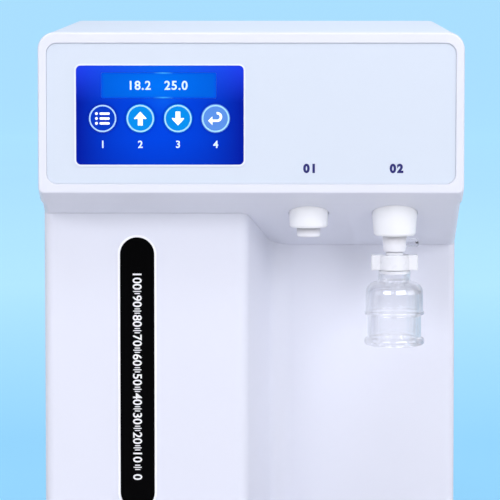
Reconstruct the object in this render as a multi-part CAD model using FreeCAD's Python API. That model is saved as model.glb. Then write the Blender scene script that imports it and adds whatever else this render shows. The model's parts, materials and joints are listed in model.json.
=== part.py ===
"""Benchtop ultrapure water system, modelled piece by piece.

Millimetres. +X is to the right and +Y into the depth as seen from the front, +Z is up.
The origin is at the middle of the footprint, on the surface that the feet stand on.
"""
import FreeCAD, Part
import math
import os

Vector = FreeCAD.Vector
RIGHT = Vector(1, 0, 0)
BACK = Vector(0, 1, 0)
UP = Vector(0, 0, 1)

# Housing
width = 350.0
height = 480.0
front_y = -220.0
rear_y = 202.0
wall = 3.0
body_inset = 1.5
top_inset = 0.2
top_radius = 14.0
head_height = 132.0
bezel_depth = 26.0
bezel_edge = 1.8
underside_slope = 0.42
underside_radius = 5.0
underside_lip = 12.0
side_panel_drop = 31.5
fit_gap = 0.3

# Column and dispensing recess
column_setback = 48.0
recess_depth = 126.0
column_edge_x = -4.0
recess_edge_x = 18.0
column_outer_radius = 8.0
column_inner_radius = 10.0
recess_fillet = 20.0
recess_outer_radius = 6.0

# Base, feet and drip tray
foot_height = 8.0
foot_radius = 15.0
foot_stem_radius = 4.0
foot_inset_x = 34.0
foot_inset_y = 34.0
base_top = 45.0
base_front_setback = 6.0
base_corner_radius = 12.0
base_ledge = 6.0
base_edge = 2.0
foot_edge = 1.2
foot_play = 0.02
tray_width = 138.0
tray_length = 104.0
tray_depth = 16.0
tray_wall = 2.0
tray_radius = 10.0
tray_rim = 4.0
tray_rim_height = 1.6
tray_gap = 0.5
grille_thickness = 2.4
grille_ledge = 2.0
grille_slot_width = 4.0
grille_slot_pitch = 8.5
grille_margin = 7.0

# Control panel, display and keys
panel_side_border = 7.0
panel_top_border = 8.9
panel_bottom_border = 7.4
panel_radius = 8.5
panel_recess = 1.4
panel_gap = 0.15
panel_opening_edge = 0.7
panel_thickness = 4.0
panel_flange = 2.5
display_width = 137.7
display_height = 81.5
display_radius = 4.0
display_left_border = 24.25
display_top_drop = 27.2
overlay_thickness = 1.3
overlay_proud = 0.3
display_rim = 1.5
display_rim_proud = 0.6
lcd_width = 94.5
lcd_height = 21.0
lcd_radius = 1.5
lcd_shift = -0.9
lcd_drop = 16.3
lcd_ledge = 1.5
lcd_module_margin = 6.0
lcd_module_height = 25.0
lcd_module_depth = 7.5
key_radius = 11.6
key_pitch = 30.9
key_shift = -0.6
key_drop = 43.5
key_proud = 0.4
key_gap = 0.4
key_flange_extra = 2.0
key_flange = 1.5
key_stem_radius = 4.0
key_stem = 3.0
key_travel = 0.5
switch_gap = 0.1
switch_plunger_radius = 1.8
switch_plunger = 1.6
switch_body = 12.0
switch_height = 3.4
board_thickness = 1.6
board_margin = 8.0
board_post_radius = 3.0
key_names = ["list", "up", "down", "return"]

# Black level strip on the column
strip_width = 28.2
strip_inset = 77.7
strip_drop = 20.5
strip_rise = 33.3
strip_gap = 0.3
strip_trim_width = 1.9
strip_trim_proud = 0.6
strip_flange = 3.0
strip_flange_thickness = 1.5

# Outlets
outlet_side_gap = 55.6
outlet_pitch = 71.8
outlet_setback = 48.0
collar_top_drop = 8.0
pure_collar_radius = 16.4
pure_collar_draft = 0.5
pure_collar_height = 23.6
pure_neck_radius = 10.0
pure_neck_tip_radius = 9.8
pure_neck_length = 7.9
ultrapure_collar_radius = 18.7
ultrapure_collar_draft = 1.3
ultrapure_collar_height = 30.4
ultrapure_neck_radius = 10.2
ultrapure_neck_tip_radius = 9.2
ultrapure_neck_length = 13.8
collar_draft_height = 16.0
collar_edge = 1.4
collar_play = 0.05
collar_hole_gap = 0.4
nozzle_bore = 4.0
neck_reach = 12.0
neck_edge = 0.8
nozzle_shoulder = 3.0
nozzle_shoulder_radius = 12.5
nozzle_shank_radius = 7.0
nozzle_barb_radius = 5.0
nozzle_barb_bore = 3.0
nozzle_barb = 12.0
bracket_thickness = 3.0
bracket_margin = 26.0
bracket_half_depth = 15.0
spigot_radius = 5.0
spigot_length = 13.0
o_ring_radius = 1.0
o_ring_play = 0.02
vent_radius = 3.7
vent_reach = 20.2
vent_rise = 7.6
vent_wall = 1.2
vent_play = 0.02
vent_mouth_radius = 1.2
vent_mouth_depth = 3.0

# Final filter capsule under the ultrapure outlet
capsule_gap = 0.5
inlet_radius = 7.2
inlet_play = 0.08
wing_drop = 2.2
wing_height = 12.6
wing_hub_radius = 12.7
wing_play = 0.1
wing_span = 39.0
wing_breadth = 9.0
wing_edge = 1.4
neck_radius = 13.5
neck_inner_radius = 11.3
neck_height = 9.5
bell_radius = 24.1
bell_shoulder_radius = 10.5
bell_ring_drop = 26.4
bell_ring_height = 2.6
bell_ring_radius = 24.9
bell_ring_rise = 0.6
bell_ring_fall = 1.2
bell_lower_radius = 22.5
bell_lower_height = 20.4
bell_rim_radius = 25.3
bell_rim_height = 7.0
bell_rim_bulge = 1.0
bell_foot_step = 0.6
bell_wall = 1.8
membrane_thickness = 1.6
membrane_gap = 0.3

# Service door in the left side
door_front_y = -150.0
door_rear_y = 150.0
door_rise = 25.0
door_drop = 28.5
door_gap = 0.5
hinge_radius = 4.0
hinge_pin_radius = 2.0
hinge_play = 0.05
hinge_engagement = 10.0
hinge_lug = 8.0
door_grip_radius = 12.0
door_grip_depth = 1.8
latch_height = 30.0
latch_depth = 8.0
latch_lap = 8.0

# Rear connections
rear_flange = 16.0
rear_flange_thickness = 3.0
rear_screw_radius = 2.0
rear_screw_head_radius = 4.0
rear_screw_head = 2.2
rear_screw_length = 9.0
screw_slot_width = 1.0
screw_slot_length = 5.0
screw_edge = 0.7
vent_rows = 7
vent_slot_pitch = 9.0
vent_slot_length = 70.0
vent_slot_height = 3.6
vent_slots_x = 100.0
vent_slots_z = 340.0
inlet_x = -110.0
inlet_z = 105.0
inlet_flange_width = 42.0
inlet_flange_height = 84.0
inlet_flange_thickness = 2.5
inlet_body_width = 30.0
inlet_body_height = 70.0
inlet_body_depth = 27.0
inlet_flange_radius = 4.0
socket_width = 24.4
socket_height = 16.6
socket_depth = 17.0
socket_chamfer = 4.0
blade_width = 4.0
blade_thickness = 2.0
blade_length = 12.0
blade_spread = 7.0
blade_offset = 2.0
fuse_width = 20.0
fuse_height = 7.0
fuse_depth = 22.0
fuse_gap = 0.3
fuse_front_margin = 1.2
fuse_front_thickness = 1.6
fuse_drop = 21.0
rocker_rise = 23.0
rocker_width = 13.0
rocker_radius = 9.0
rocker_gap = 0.4
rocker_half_height = 8.0
rocker_reach = 8.4
rocker_dip = 2.6
rocker_tilt = 10.0
rocker_pin_radius = 1.5
rocker_pin_reach = 1.2
port_pitch = 42.0
port_x = 60.0
port_z = 110.0
port_radius = 11.0
port_length = 13.5
port_edge = 1.0
port_shank_radius = 8.0
port_shank = 16.0
tube_radius = 3.175
tube_play = 0.075
collet_radius = 6.0
collet_play = 0.08
collet_depth = 10.0
collet_flange_radius = 8.0
collet_flange = 2.5
collet_edge = 0.6
collet_travel = 1.0
collet_stand_off = 2.0

# Inside
bulkhead_reach = 23.5
bulkhead_drop = 50.0
cartridge_radius = 39.0
cartridge_rise = 79.0
cartridge_length = 290.0
cartridge_pitch = 95.0
cartridge_middle_y = -18.0
cartridge_offset = 7.0
cartridge_cap_height = 16.0
cartridge_cap_extra = 2.0
cartridge_dome_radius = 6.0
cartridge_port_radius = 5.0
cartridge_port = 10.0
clip_height = 14.0
clip_thickness = 3.0
clip_opening_width = 26.0
clip_z_inset = 60.0
pump_y = 20.0
pump_head = 58.0
pump_head_length = 46.0
pump_foot = 12.0
pump_edge = 5.0
motor_radius = 26.0
motor_length = 88.0
motor_edge = 3.0
uv_side_gap = 10.5
uv_y = 150.0
uv_radius = 30.0
uv_length = 300.0
uv_end_height = 12.0
uv_end_extra = 3.0
supply_width = 60.0
supply_length = 150.0
supply_height = 100.0
supply_side_gap = 20.5
supply_y = 20.0
circuit_width = 130.0
circuit_height = 110.0
circuit_y = 60.0
circuit_drop = 100.0
circuit_stand_off = 8.0
valve_pitch = 46.0
valve_size = 30.0
valve_coil_radius = 12.0
valve_drop = 130.0
valve_y = 40.0
cell_radius = 9.0
cell_length = 46.0
cell_drop = 45.0
cell_clamp = 3.0
hose_radius = 3.2
hose_bend_share = 0.45
hose_ceiling_gap = 40.0
hose_near_share = 0.37
hose_far_share = 0.7
hose_arch = 18.0
hose_crest = 6.0
valve_hose_dip = 25.0
valve_hose_bow = 10.0
valve_hose_lean = 10.0
valve_hose_reach = 70.0
valve_hose_fall = 90.0
valve_hose_approach = 40.0

# Places worked out from the sizes above
body_half = width / 2 - body_inset
body_top = height - top_inset
side_panel_top = height - side_panel_drop
head_bottom = height - head_height
bezel_back_y = front_y + bezel_depth
column_y = front_y + column_setback
recess_y = front_y + recess_depth
base_front_y = front_y + base_front_setback
outlet_y = front_y + outlet_setback
inner_half = body_half - wall
base_floor = foot_height + wall
panel_width = width - 2 * panel_side_border
panel_height = head_height - panel_top_border - panel_bottom_border
panel_z = height - panel_top_border - panel_height / 2
panel_front = front_y + panel_recess
overlay_back = panel_front - overlay_proud + overlay_thickness
panel_back = panel_front + panel_thickness
display_x = -panel_width / 2 + display_left_border + display_width / 2
display_z = height - display_top_drop - display_height / 2
lcd_z = display_z + display_height / 2 - lcd_drop
lcd_x = display_x + lcd_shift
key_z = display_z + display_height / 2 - key_drop
key_front = panel_front - overlay_proud - key_proud
key_back = panel_back + key_flange + key_stem
plunger_front = key_back + key_travel + switch_gap
board_front = plunger_front + switch_plunger + switch_height
strip_top = head_bottom - underside_slope * column_setback - strip_drop
strip_length = strip_top - base_top - strip_rise
strip_x = -body_half + strip_inset
strip_z = strip_top - strip_length / 2
ultrapure_x = width / 2 - outlet_side_gap
pure_x = ultrapure_x - outlet_pitch
collar_top = head_bottom - collar_top_drop
pure_collar_bottom = collar_top - pure_collar_height
pure_neck_bottom = pure_collar_bottom - pure_neck_length
ultrapure_collar_bottom = collar_top - ultrapure_collar_height
ultrapure_neck_bottom = ultrapure_collar_bottom - ultrapure_neck_length
vent_z = ultrapure_neck_bottom + vent_rise
inlet_top = ultrapure_neck_bottom - capsule_gap
wing_top = inlet_top - wing_drop
wing_bottom = wing_top - wing_height
shoulder_top = wing_bottom - neck_height
bell_ring_z = shoulder_top - bell_ring_drop
bell_rim_top = bell_ring_z - bell_lower_height
bell_bottom = bell_rim_top - bell_rim_height
door_bottom = base_top + door_rise
door_top = side_panel_top - door_drop
tray_x = (recess_edge_x + body_half) / 2
tray_y = (base_front_y + recess_y) / 2
tray_bottom = base_top - tray_depth
cartridge_x = -inner_half + cartridge_radius + cartridge_cap_extra + cartridge_offset
cartridge_bottom = base_floor + cartridge_rise
cartridge_top = cartridge_bottom + cartridge_length
bulkhead_x = cartridge_x + cartridge_radius + bulkhead_reach
bulkhead_top = height - bulkhead_drop
circuit_z = bulkhead_top - circuit_drop
cell_z = bulkhead_top - cell_drop
valve_z = circuit_z - valve_drop
uv_x = inner_half - uv_radius - uv_side_gap
supply_x = inner_half - supply_width / 2 - supply_side_gap
pump_x = (bulkhead_x + wall + supply_x - supply_width / 2) / 2


def slope_z(y):
    """Height of the underside of the head at a depth."""
    return head_bottom - underside_slope * (y - front_y)


# Helpers
def box(x0, x1, y0, y1, z0, z1):
    return Part.makeBox(x1 - x0, y1 - y0, z1 - z0, Vector(x0, y0, z0))


def rod(radius, start, direction, length):
    return Part.makeCylinder(radius, length, start, direction)


def pipe(outer, inner, start, direction, length):
    return rod(outer, start, direction, length).cut(rod(inner, start, direction, length))


def rounded_wire(corners, radii):
    """Closed wire through the corners, each rounded by its own radius."""
    arcs = []
    count = len(corners)
    for index in range(count):
        here = corners[index]
        to_last = (corners[index - 1] - here).normalize()
        to_next = (corners[(index + 1) % count] - here).normalize()
        radius = radii[index]
        half = to_last.getAngle(to_next) / 2
        setback = radius / math.tan(half)
        middle = (to_last + to_next).normalize() * (radius / math.sin(half) - radius)
        arcs.append((here + to_last * setback, here + middle, here + to_next * setback))
    edges = []
    for index in range(count):
        start, middle, end = arcs[index]
        if radii[index] > 0:
            edges.append(Part.Arc(start, middle, end).toShape())
        following = arcs[(index + 1) % count][0]
        if (following - end).Length > 1e-6:
            edges.append(Part.LineSegment(end, following).toShape())
    return Part.Wire(edges)


def prism(corners, radii, sweep):
    return Part.Face(rounded_wire(corners, radii)).extrude(sweep)


def plate(plate_width, plate_height, radius, x, z, y0, y1):
    """Upright plate that faces the front, with rounded corners."""
    half_w = plate_width / 2
    half_h = plate_height / 2
    corners = [
        Vector(x - half_w, y0, z - half_h),
        Vector(x + half_w, y0, z - half_h),
        Vector(x + half_w, y0, z + half_h),
        Vector(x - half_w, y0, z + half_h),
    ]
    return prism(corners, [radius] * 4, BACK * (y1 - y0))


def slab(slab_width, slab_length, radius, x, y, z0, z1):
    """Level plate with rounded corners."""
    half_w = slab_width / 2
    half_l = slab_length / 2
    corners = [
        Vector(x - half_w, y - half_l, z0),
        Vector(x + half_w, y - half_l, z0),
        Vector(x + half_w, y + half_l, z0),
        Vector(x - half_w, y + half_l, z0),
    ]
    return prism(corners, [radius] * 4, UP * (z1 - z0))


def turned(profile, x, y):
    """Solid of revolution about an upright axis, from radius and height pairs."""
    points = [Vector(x + radius, y, z) for radius, z in profile]
    face = Part.Face(Part.makePolygon(points + points[:1]))
    return face.revolve(Vector(x, y, 0), UP, 360)


def edges_at(shape, test):
    """Edges whose every end passes a test."""
    return [edge for edge in shape.Edges if all(test(vertex.Point) for vertex in edge.Vertexes)]


def fuse(solids):
    joined = solids[0].multiFuse(solids[1:])
    return joined.removeSplitter()


def group(solids):
    return Part.makeCompound(solids)


def save(name, shape):
    """Write one sub-part and print its volume in cubic centimetres."""
    solids = shape.Solids
    sound = shape.isValid() and all(solid.isClosed() for solid in solids)
    print(name, len(solids), round(shape.Volume / 1000, 2), "" if sound else "NOT SOUND")
    kept = solids[0] if len(solids) == 1 else group(solids)
    kept.exportStep("parts/" + name + ".step")


# Shapes that several pieces share
def head_below(half, lift, radius, y0, y1):
    """Everything above the sloping underside, between two depths."""
    low = slope_z(y0) + lift
    high = low + 2 * height
    corners = [
        Vector(-half, y0, low),
        Vector(half, y0, low),
        Vector(half, y0, high),
        Vector(-half, y0, high),
    ]
    sweep = Vector(0, y1 - y0, -underside_slope * (y1 - y0))
    return prism(corners, [radius, radius, 0, 0], sweep)


def head_above(half, top, radius, y0, y1):
    """Everything under the rounded top, between two depths."""
    corners = [
        Vector(-half, y0, 0),
        Vector(half, y0, 0),
        Vector(half, y0, top),
        Vector(-half, y0, top),
    ]
    return prism(corners, [0, 0, radius, radius], BACK * (y1 - y0))


def body_plan(inset, z0, z1):
    """Column, slanted wall and recess wall seen from above, as a solid block."""
    corners = [
        Vector(-body_half, rear_y, z0),
        Vector(-body_half, column_y, z0),
        Vector(column_edge_x, column_y, z0),
        Vector(recess_edge_x, recess_y, z0),
        Vector(body_half, recess_y, z0),
        Vector(body_half, rear_y, z0),
    ]
    radii = [0, column_outer_radius, column_inner_radius, recess_fillet, recess_outer_radius, 0]
    face = Part.Face(rounded_wire(corners, radii))
    if inset > 0:
        face = face.makeOffset2D(-inset)
    return face.extrude(UP * (z1 - z0))


# Head and covers
def head_bezel():
    outer = head_above(width / 2, height, top_radius, front_y, bezel_back_y)
    outer = outer.common(head_below(width / 2, 0, underside_radius, front_y, bezel_back_y))
    rim = edges_at(outer, lambda p: abs(p.y - front_y) < 1e-6)
    outer = outer.makeFillet(bezel_edge, rim)
    inner_front = front_y + wall
    inner_back = bezel_back_y + 1
    half = width / 2 - wall
    inner = head_above(half, height - wall, top_radius - wall, inner_front, inner_back)
    lift = wall * math.sqrt(1 + underside_slope ** 2)
    corner = underside_radius - wall
    inner = inner.common(head_below(half, lift, corner, inner_front, inner_back))
    opening = plate(panel_width, panel_height, panel_radius, 0, panel_z, front_y - 1, inner_front + 1)
    shape = outer.cut(inner).cut(opening)
    reach_x = panel_width / 2 + fit_gap
    reach_z = panel_height / 2 + fit_gap
    mouth = edges_at(shape, lambda p: abs(p.y - front_y) < 1e-6 and abs(p.x) < reach_x
                     and abs(p.z - panel_z) < reach_z)
    return shape.makeFillet(panel_opening_edge, mouth)


def control_panel():
    back = panel_back
    face_y = panel_front
    flange_y = front_y + wall
    shape = plate(panel_width - 2 * panel_gap, panel_height - 2 * panel_gap, panel_radius - panel_gap,
                  0, panel_z, face_y, flange_y)
    shape = shape.fuse(plate(panel_width + 2 * panel_flange, panel_height + 2 * panel_flange,
                             panel_radius, 0, panel_z, flange_y, back))
    rim_w = display_width + 2 * display_rim
    rim_h = display_height + 2 * display_rim
    shape = shape.fuse(plate(rim_w, rim_h, display_radius + display_rim, display_x, display_z,
                             face_y - display_rim_proud, face_y))
    for x, z in board_posts():
        shape = shape.fuse(rod(board_post_radius, Vector(x, back, z), BACK, board_front - back))
    shape = shape.cut(plate(display_width + fit_gap, display_height + fit_gap, display_radius,
                            display_x, display_z, face_y - 2 * display_rim_proud, overlay_back))
    shape = shape.cut(plate(lcd_width - 2 * lcd_ledge, lcd_height - 2 * lcd_ledge, lcd_radius,
                            lcd_x, lcd_z, overlay_back - 1, back + 1))
    for x in key_places():
        shape = shape.cut(rod(key_radius + key_gap, Vector(x, face_y - 1, key_z), BACK,
                              back - face_y + 2))
    return shape.removeSplitter()


def board_posts():
    """Places of the four posts that carry the keypad board."""
    half_w = display_width / 2 + board_margin - board_post_radius - 1
    half_h = display_height / 2 - board_post_radius - 1
    return [(display_x + side * half_w, display_z + rise * half_h)
            for side in (-1, 1) for rise in (-1, 1)]


def key_places():
    first = display_x + key_shift - (len(key_names) - 1) * key_pitch / 2
    return [first + index * key_pitch for index in range(len(key_names))]


def display_overlay():
    front = panel_front - overlay_proud
    shape = plate(display_width, display_height, display_radius - fit_gap / 2, display_x, display_z,
                  front, overlay_back)
    shape = shape.cut(plate(lcd_width + fit_gap, lcd_height + fit_gap, lcd_radius + fit_gap / 2,
                            lcd_x, lcd_z, front - 1, overlay_back + 1))
    for x in key_places():
        shape = shape.cut(rod(key_radius + key_gap, Vector(x, front - 1, key_z), BACK,
                              overlay_thickness + 2))
    return shape


def lcd_window():
    front = panel_front - overlay_proud
    return plate(lcd_width, lcd_height, lcd_radius, lcd_x, lcd_z, front, overlay_back)


def lcd_module():
    half_w = lcd_width / 2 + lcd_module_margin
    half_h = lcd_module_height / 2
    shape = box(lcd_x - half_w, lcd_x + half_w, panel_back, panel_back + lcd_module_depth,
                lcd_z - half_h, lcd_z + half_h)
    glass_w = lcd_width - 2 * lcd_ledge - 2 * fit_gap
    glass_h = lcd_height - 2 * lcd_ledge - 2 * fit_gap
    glass = plate(glass_w, glass_h, lcd_radius, lcd_x, lcd_z, overlay_back + fit_gap, panel_back)
    return shape.fuse(glass).removeSplitter()


def key(x):
    cap = rod(key_radius, Vector(x, key_front, key_z), BACK, panel_back - key_front)
    rim = edges_at(cap, lambda p: abs(p.y - key_front) < 1e-6)
    cap = cap.makeFillet(key_proud, rim)
    flange = rod(key_radius + key_flange_extra, Vector(x, panel_back, key_z), BACK, key_flange)
    stem = rod(key_stem_radius, Vector(x, panel_back + key_flange, key_z), BACK, key_stem)
    return fuse([cap, flange, stem])


def tact_switches():
    switches = []
    for x in key_places():
        plunger = rod(switch_plunger_radius, Vector(x, plunger_front, key_z), BACK, switch_plunger)
        half = switch_body / 2
        y0 = plunger_front + switch_plunger
        body = box(x - half, x + half, y0, y0 + switch_height, key_z - half, key_z + half)
        switches.append(fuse([plunger, body]))
    return group(switches)


def keypad_board():
    board_w = display_width + 2 * board_margin
    return plate(board_w, display_height, display_radius, display_x, display_z,
                 board_front, board_front + board_thickness)


def underside_panel():
    y0 = bezel_back_y
    y1 = recess_y + recess_outer_radius
    lift = wall * math.sqrt(1 + underside_slope ** 2)
    shape = head_below(body_half, 0, underside_radius, y0, y1)
    shape = shape.cut(head_below(inner_half, lift, underside_radius - wall, y0 - 1, y1 + 1))
    top = head_below(2 * width, underside_lip, 0, y0 - 1, y1 + 1)
    shape = shape.cut(top)
    shape = shape.cut(body_plan(wall, 0, height))
    left_end = column_y + column_outer_radius
    shape = shape.cut(box(-width, -inner_half, left_end, rear_y, 0, height))
    for x, radius in ((pure_x, pure_collar_radius), (ultrapure_x, ultrapure_collar_radius)):
        hole = rod(radius + collar_hole_gap, Vector(x, outlet_y, 0), UP, height)
        shape = shape.cut(hole)
    return shape


def front_cover():
    shape = body_plan(0, base_top, head_bottom)
    shape = shape.cut(body_plan(wall, base_top - 1, head_bottom + 1))
    shape = shape.cut(head_below(body_half, 0, underside_radius, front_y, rear_y))
    left_end = column_y + column_outer_radius
    right_end = recess_y + recess_outer_radius
    shape = shape.cut(box(-width, -inner_half, left_end, rear_y + 1, 0, height))
    shape = shape.cut(box(inner_half, width, right_end, rear_y + 1, 0, height))
    shape = shape.cut(box(-width, width, rear_y - 2 * wall, rear_y + 1, 0, height))
    slot_w = strip_width + 2 * strip_gap
    slot_h = strip_length + 2 * strip_gap
    slot = plate(slot_w, slot_h, slot_w / 2, strip_x, strip_z, column_y - 1, column_y + wall + 1)
    return shape.cut(slot)


def strip_lens():
    lens = plate(strip_width, strip_length, strip_width / 2, strip_x, strip_z,
                 column_y, column_y + wall)
    flange_w = strip_width + 2 * strip_flange
    flange = plate(flange_w, strip_length + 2 * strip_flange, flange_w / 2, strip_x, strip_z,
                   column_y + wall, column_y + wall + strip_flange_thickness)
    return fuse([lens, flange])


def strip_trim():
    inner_w = strip_width + 2 * strip_gap
    inner_h = strip_length + 2 * strip_gap
    outer_w = inner_w + 2 * strip_trim_width
    outer_h = inner_h + 2 * strip_trim_width
    y0 = column_y - strip_trim_proud
    ring = plate(outer_w, outer_h, outer_w / 2, strip_x, strip_z, y0, column_y)
    return ring.cut(plate(inner_w, inner_h, inner_w / 2, strip_x, strip_z, y0 - 1, column_y + 1))


def top_cover():
    outer = head_above(body_half, body_top, top_radius - body_inset, bezel_back_y, rear_y)
    inner = head_above(inner_half, body_top - wall, top_radius - body_inset - wall,
                       bezel_back_y - 1, rear_y + 1)
    below = box(-width, width, front_y, rear_y + 1, -1, side_panel_top)
    return outer.cut(inner).cut(below)


def side_panel(side, front_end):
    """Side wall, open under the head, with a flange at the back for the rear panel."""
    x_outer = side * body_half
    lip_front = slope_z(bezel_back_y) + underside_lip
    lip_back = slope_z(front_end) + underside_lip
    corners = [
        Vector(x_outer, bezel_back_y, lip_front),
        Vector(x_outer, bezel_back_y, side_panel_top),
        Vector(x_outer, rear_y, side_panel_top),
        Vector(x_outer, rear_y, base_top),
        Vector(x_outer, front_end, base_top),
        Vector(x_outer, front_end, lip_back),
    ]
    shape = prism(corners, [0] * 6, RIGHT * (-side * wall))
    edge = side * inner_half
    flange_x = sorted((edge, edge - side * rear_flange))
    flange_y = rear_y - wall
    flange = box(flange_x[0], flange_x[1], flange_y - rear_flange_thickness, flange_y,
                 base_top, side_panel_top)
    for x, z in rear_screw_places():
        flange = flange.cut(rod(rear_screw_radius, Vector(x, flange_y + 1, z), -BACK, 2 * wall + 2))
    return fuse([shape, flange])


def left_side_panel():
    shape = side_panel(-1, column_y + column_outer_radius)
    shape = shape.cut(box(-body_half - 1, -inner_half + 1, door_front_y, door_rear_y,
                          door_bottom, door_top))
    hinge_x, hinge_y = hinge_axis()
    for z0 in (door_bottom - hinge_lug - door_gap, door_top + door_gap):
        lug = box(-inner_half, hinge_x + hinge_radius, hinge_y - hinge_radius,
                  hinge_y + 2 * hinge_radius, z0, z0 + hinge_lug)
        shape = shape.fuse(lug)
        shape = shape.cut(rod(hinge_pin_radius, Vector(hinge_x, hinge_y, z0 - 1), UP, hinge_lug + 2))
    return shape.removeSplitter()


def right_side_panel():
    return side_panel(1, recess_y + recess_outer_radius)


def hinge_axis():
    return -body_half + hinge_radius, door_rear_y - door_gap - hinge_radius


def service_door():
    hinge_x, hinge_y = hinge_axis()
    z0 = door_bottom + door_gap
    z1 = door_top - door_gap
    panel = box(-body_half, -inner_half, door_front_y + door_gap, hinge_y, z0, z1)
    grip = rod(door_grip_radius, Vector(-body_half - door_grip_radius + door_grip_depth,
                                        door_front_y, (z0 + z1) / 2), BACK, door_grip_radius)
    shape = panel.cut(grip)
    shape = shape.fuse(rod(hinge_radius, Vector(hinge_x, hinge_y, z0), UP, z1 - z0))
    bore = hinge_pin_radius + hinge_play
    for start, direction in ((z0, UP), (z1, -UP)):
        shape = shape.cut(rod(bore, Vector(hinge_x, hinge_y, start), direction,
                              hinge_engagement + door_gap))
    return shape.removeSplitter()


def door_hinge_pins():
    hinge_x, hinge_y = hinge_axis()
    length = hinge_lug + 2 * door_gap + hinge_engagement
    lower = rod(hinge_pin_radius, Vector(hinge_x, hinge_y, door_bottom - hinge_lug - door_gap),
                UP, length)
    upper = rod(hinge_pin_radius, Vector(hinge_x, hinge_y, door_top + hinge_lug + door_gap),
                -UP, length)
    return group([lower, upper])


def door_touch_latch():
    z = (door_bottom + door_top) / 2
    half = latch_height / 2
    y0 = door_front_y - latch_lap
    block = box(-inner_half, -inner_half + latch_depth, y0, door_front_y + latch_lap,
                z - half, z + half)
    magnet = box(-inner_half, -inner_half + fit_gap, door_front_y, door_front_y + latch_lap + 1,
                 z - half - 1, z + half + 1)
    return block.cut(magnet)


# Rear
def rear_panel():
    half = inner_half - fit_gap
    y0 = rear_y - wall
    shape = box(-half, half, y0, rear_y, base_top, body_top - wall - fit_gap)
    corner_cut = head_above(inner_half - fit_gap, body_top - wall - fit_gap,
                            top_radius - body_inset - wall, y0 - 1, rear_y + 1)
    shape = shape.common(corner_cut)
    for x, z in rear_screw_places():
        shape = shape.cut(rod(rear_screw_radius + fit_gap, Vector(x, y0 - 1, z), BACK, wall + 2))
    inlet_half_w = inlet_body_width / 2 + fit_gap
    inlet_half_h = inlet_body_height / 2 + fit_gap
    shape = shape.cut(box(inlet_x - inlet_half_w, inlet_x + inlet_half_w, y0 - 1, rear_y + 1,
                          inlet_z - inlet_half_h, inlet_z + inlet_half_h))
    for x in port_places():
        shape = shape.cut(rod(port_shank_radius + fit_gap, Vector(x, y0 - 1, port_z), BACK, wall + 2))
    for row in range(vent_rows):
        z = vent_slots_z + row * vent_slot_pitch
        shape = shape.cut(plate(vent_slot_length, vent_slot_height, vent_slot_height / 2,
                                vent_slots_x, z, y0 - 1, rear_y + 1))
    return shape


def rear_screw_places():
    x = inner_half - rear_flange / 2
    low = base_top + rear_flange
    high = side_panel_top - rear_flange
    return [(side * x, z) for side in (-1, 1) for z in (low, (low + high) / 2, high)]


def rear_screws():
    screws = []
    for x, z in rear_screw_places():
        head = rod(rear_screw_head_radius, Vector(x, rear_y, z), BACK, rear_screw_head)
        head = head.makeFillet(screw_edge, edges_at(head, lambda p: p.y > rear_y + 1))
        slot = box(x - screw_slot_width / 2, x + screw_slot_width / 2, rear_y + rear_screw_head / 2,
                   rear_y + rear_screw_head + 1, z - screw_slot_length / 2, z + screw_slot_length / 2)
        shank = rod(rear_screw_radius, Vector(x, rear_y, z), -BACK, rear_screw_length)
        screws.append(fuse([head.cut(slot), shank]))
    return group(screws)


def port_places():
    return [port_x + (index - 1) * port_pitch for index in range(3)]


def tube_ports():
    ports = []
    for x in port_places():
        start = Vector(x, rear_y, port_z)
        body = rod(port_radius, start, BACK, port_length)
        body = body.makeFillet(port_edge, edges_at(body, lambda p: p.y > rear_y + 1))
        shank = rod(port_shank_radius, start, -BACK, port_shank)
        shape = fuse([body, shank])
        mouth = start + BACK * port_length
        shape = shape.cut(rod(collet_radius + collet_play, mouth, -BACK, collet_depth + collet_travel + 1))
        shape = shape.cut(rod(tube_radius + tube_play, mouth, -BACK, port_length + port_shank))
        ports.append(shape)
    return group(ports)


def collet(x):
    y_mouth = rear_y + port_length
    y_flange = y_mouth + collet_stand_off
    sleeve = rod(collet_radius, Vector(x, y_mouth - collet_depth, port_z), BACK,
                 collet_depth + collet_stand_off)
    flange = rod(collet_flange_radius, Vector(x, y_flange, port_z), BACK, collet_flange)
    flange = flange.makeFillet(collet_edge, edges_at(flange, lambda p: p.y > y_flange + 1))
    shape = fuse([sleeve, flange])
    return shape.cut(rod(tube_radius + tube_play, Vector(x, y_mouth - collet_depth - 1, port_z), BACK,
                         collet_depth + collet_stand_off + collet_flange + 2))


def power_inlet():
    face_y = rear_y + inlet_flange_thickness
    flange = plate(inlet_flange_width, inlet_flange_height, inlet_flange_radius, inlet_x, inlet_z,
                   rear_y, face_y)
    half_w = inlet_body_width / 2
    half_h = inlet_body_height / 2
    body = box(inlet_x - half_w, inlet_x + half_w, rear_y - inlet_body_depth, rear_y,
               inlet_z - half_h, inlet_z + half_h)
    shape = fuse([flange, body])
    shape = shape.cut(socket_shape(face_y + 1, socket_depth + 1))
    fuse_half_w = fuse_width / 2 + fuse_gap
    fuse_half_h = fuse_height / 2 + fuse_gap
    fuse_z = inlet_z - fuse_drop
    shape = shape.cut(box(inlet_x - fuse_half_w, inlet_x + fuse_half_w, face_y - fuse_depth - fuse_gap,
                          face_y + 1, fuse_z - fuse_half_h, fuse_z + fuse_half_h))
    rocker_y, rocker_z = rocker_axis()
    reach = rocker_radius + rocker_gap
    rocker_half = rocker_width / 2 + rocker_gap
    shape = shape.cut(box(inlet_x - rocker_half, inlet_x + rocker_half, rocker_y - reach, face_y + 1,
                          rocker_z - reach - rocker_gap, rocker_z + reach + rocker_gap))
    pin_start = inlet_x - rocker_width / 2 - rocker_pin_reach - rocker_gap
    shape = shape.cut(rod(rocker_pin_radius + hinge_play, Vector(pin_start, rocker_y, rocker_z), RIGHT,
                          rocker_width + 2 * (rocker_pin_reach + rocker_gap)))
    return shape


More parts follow.
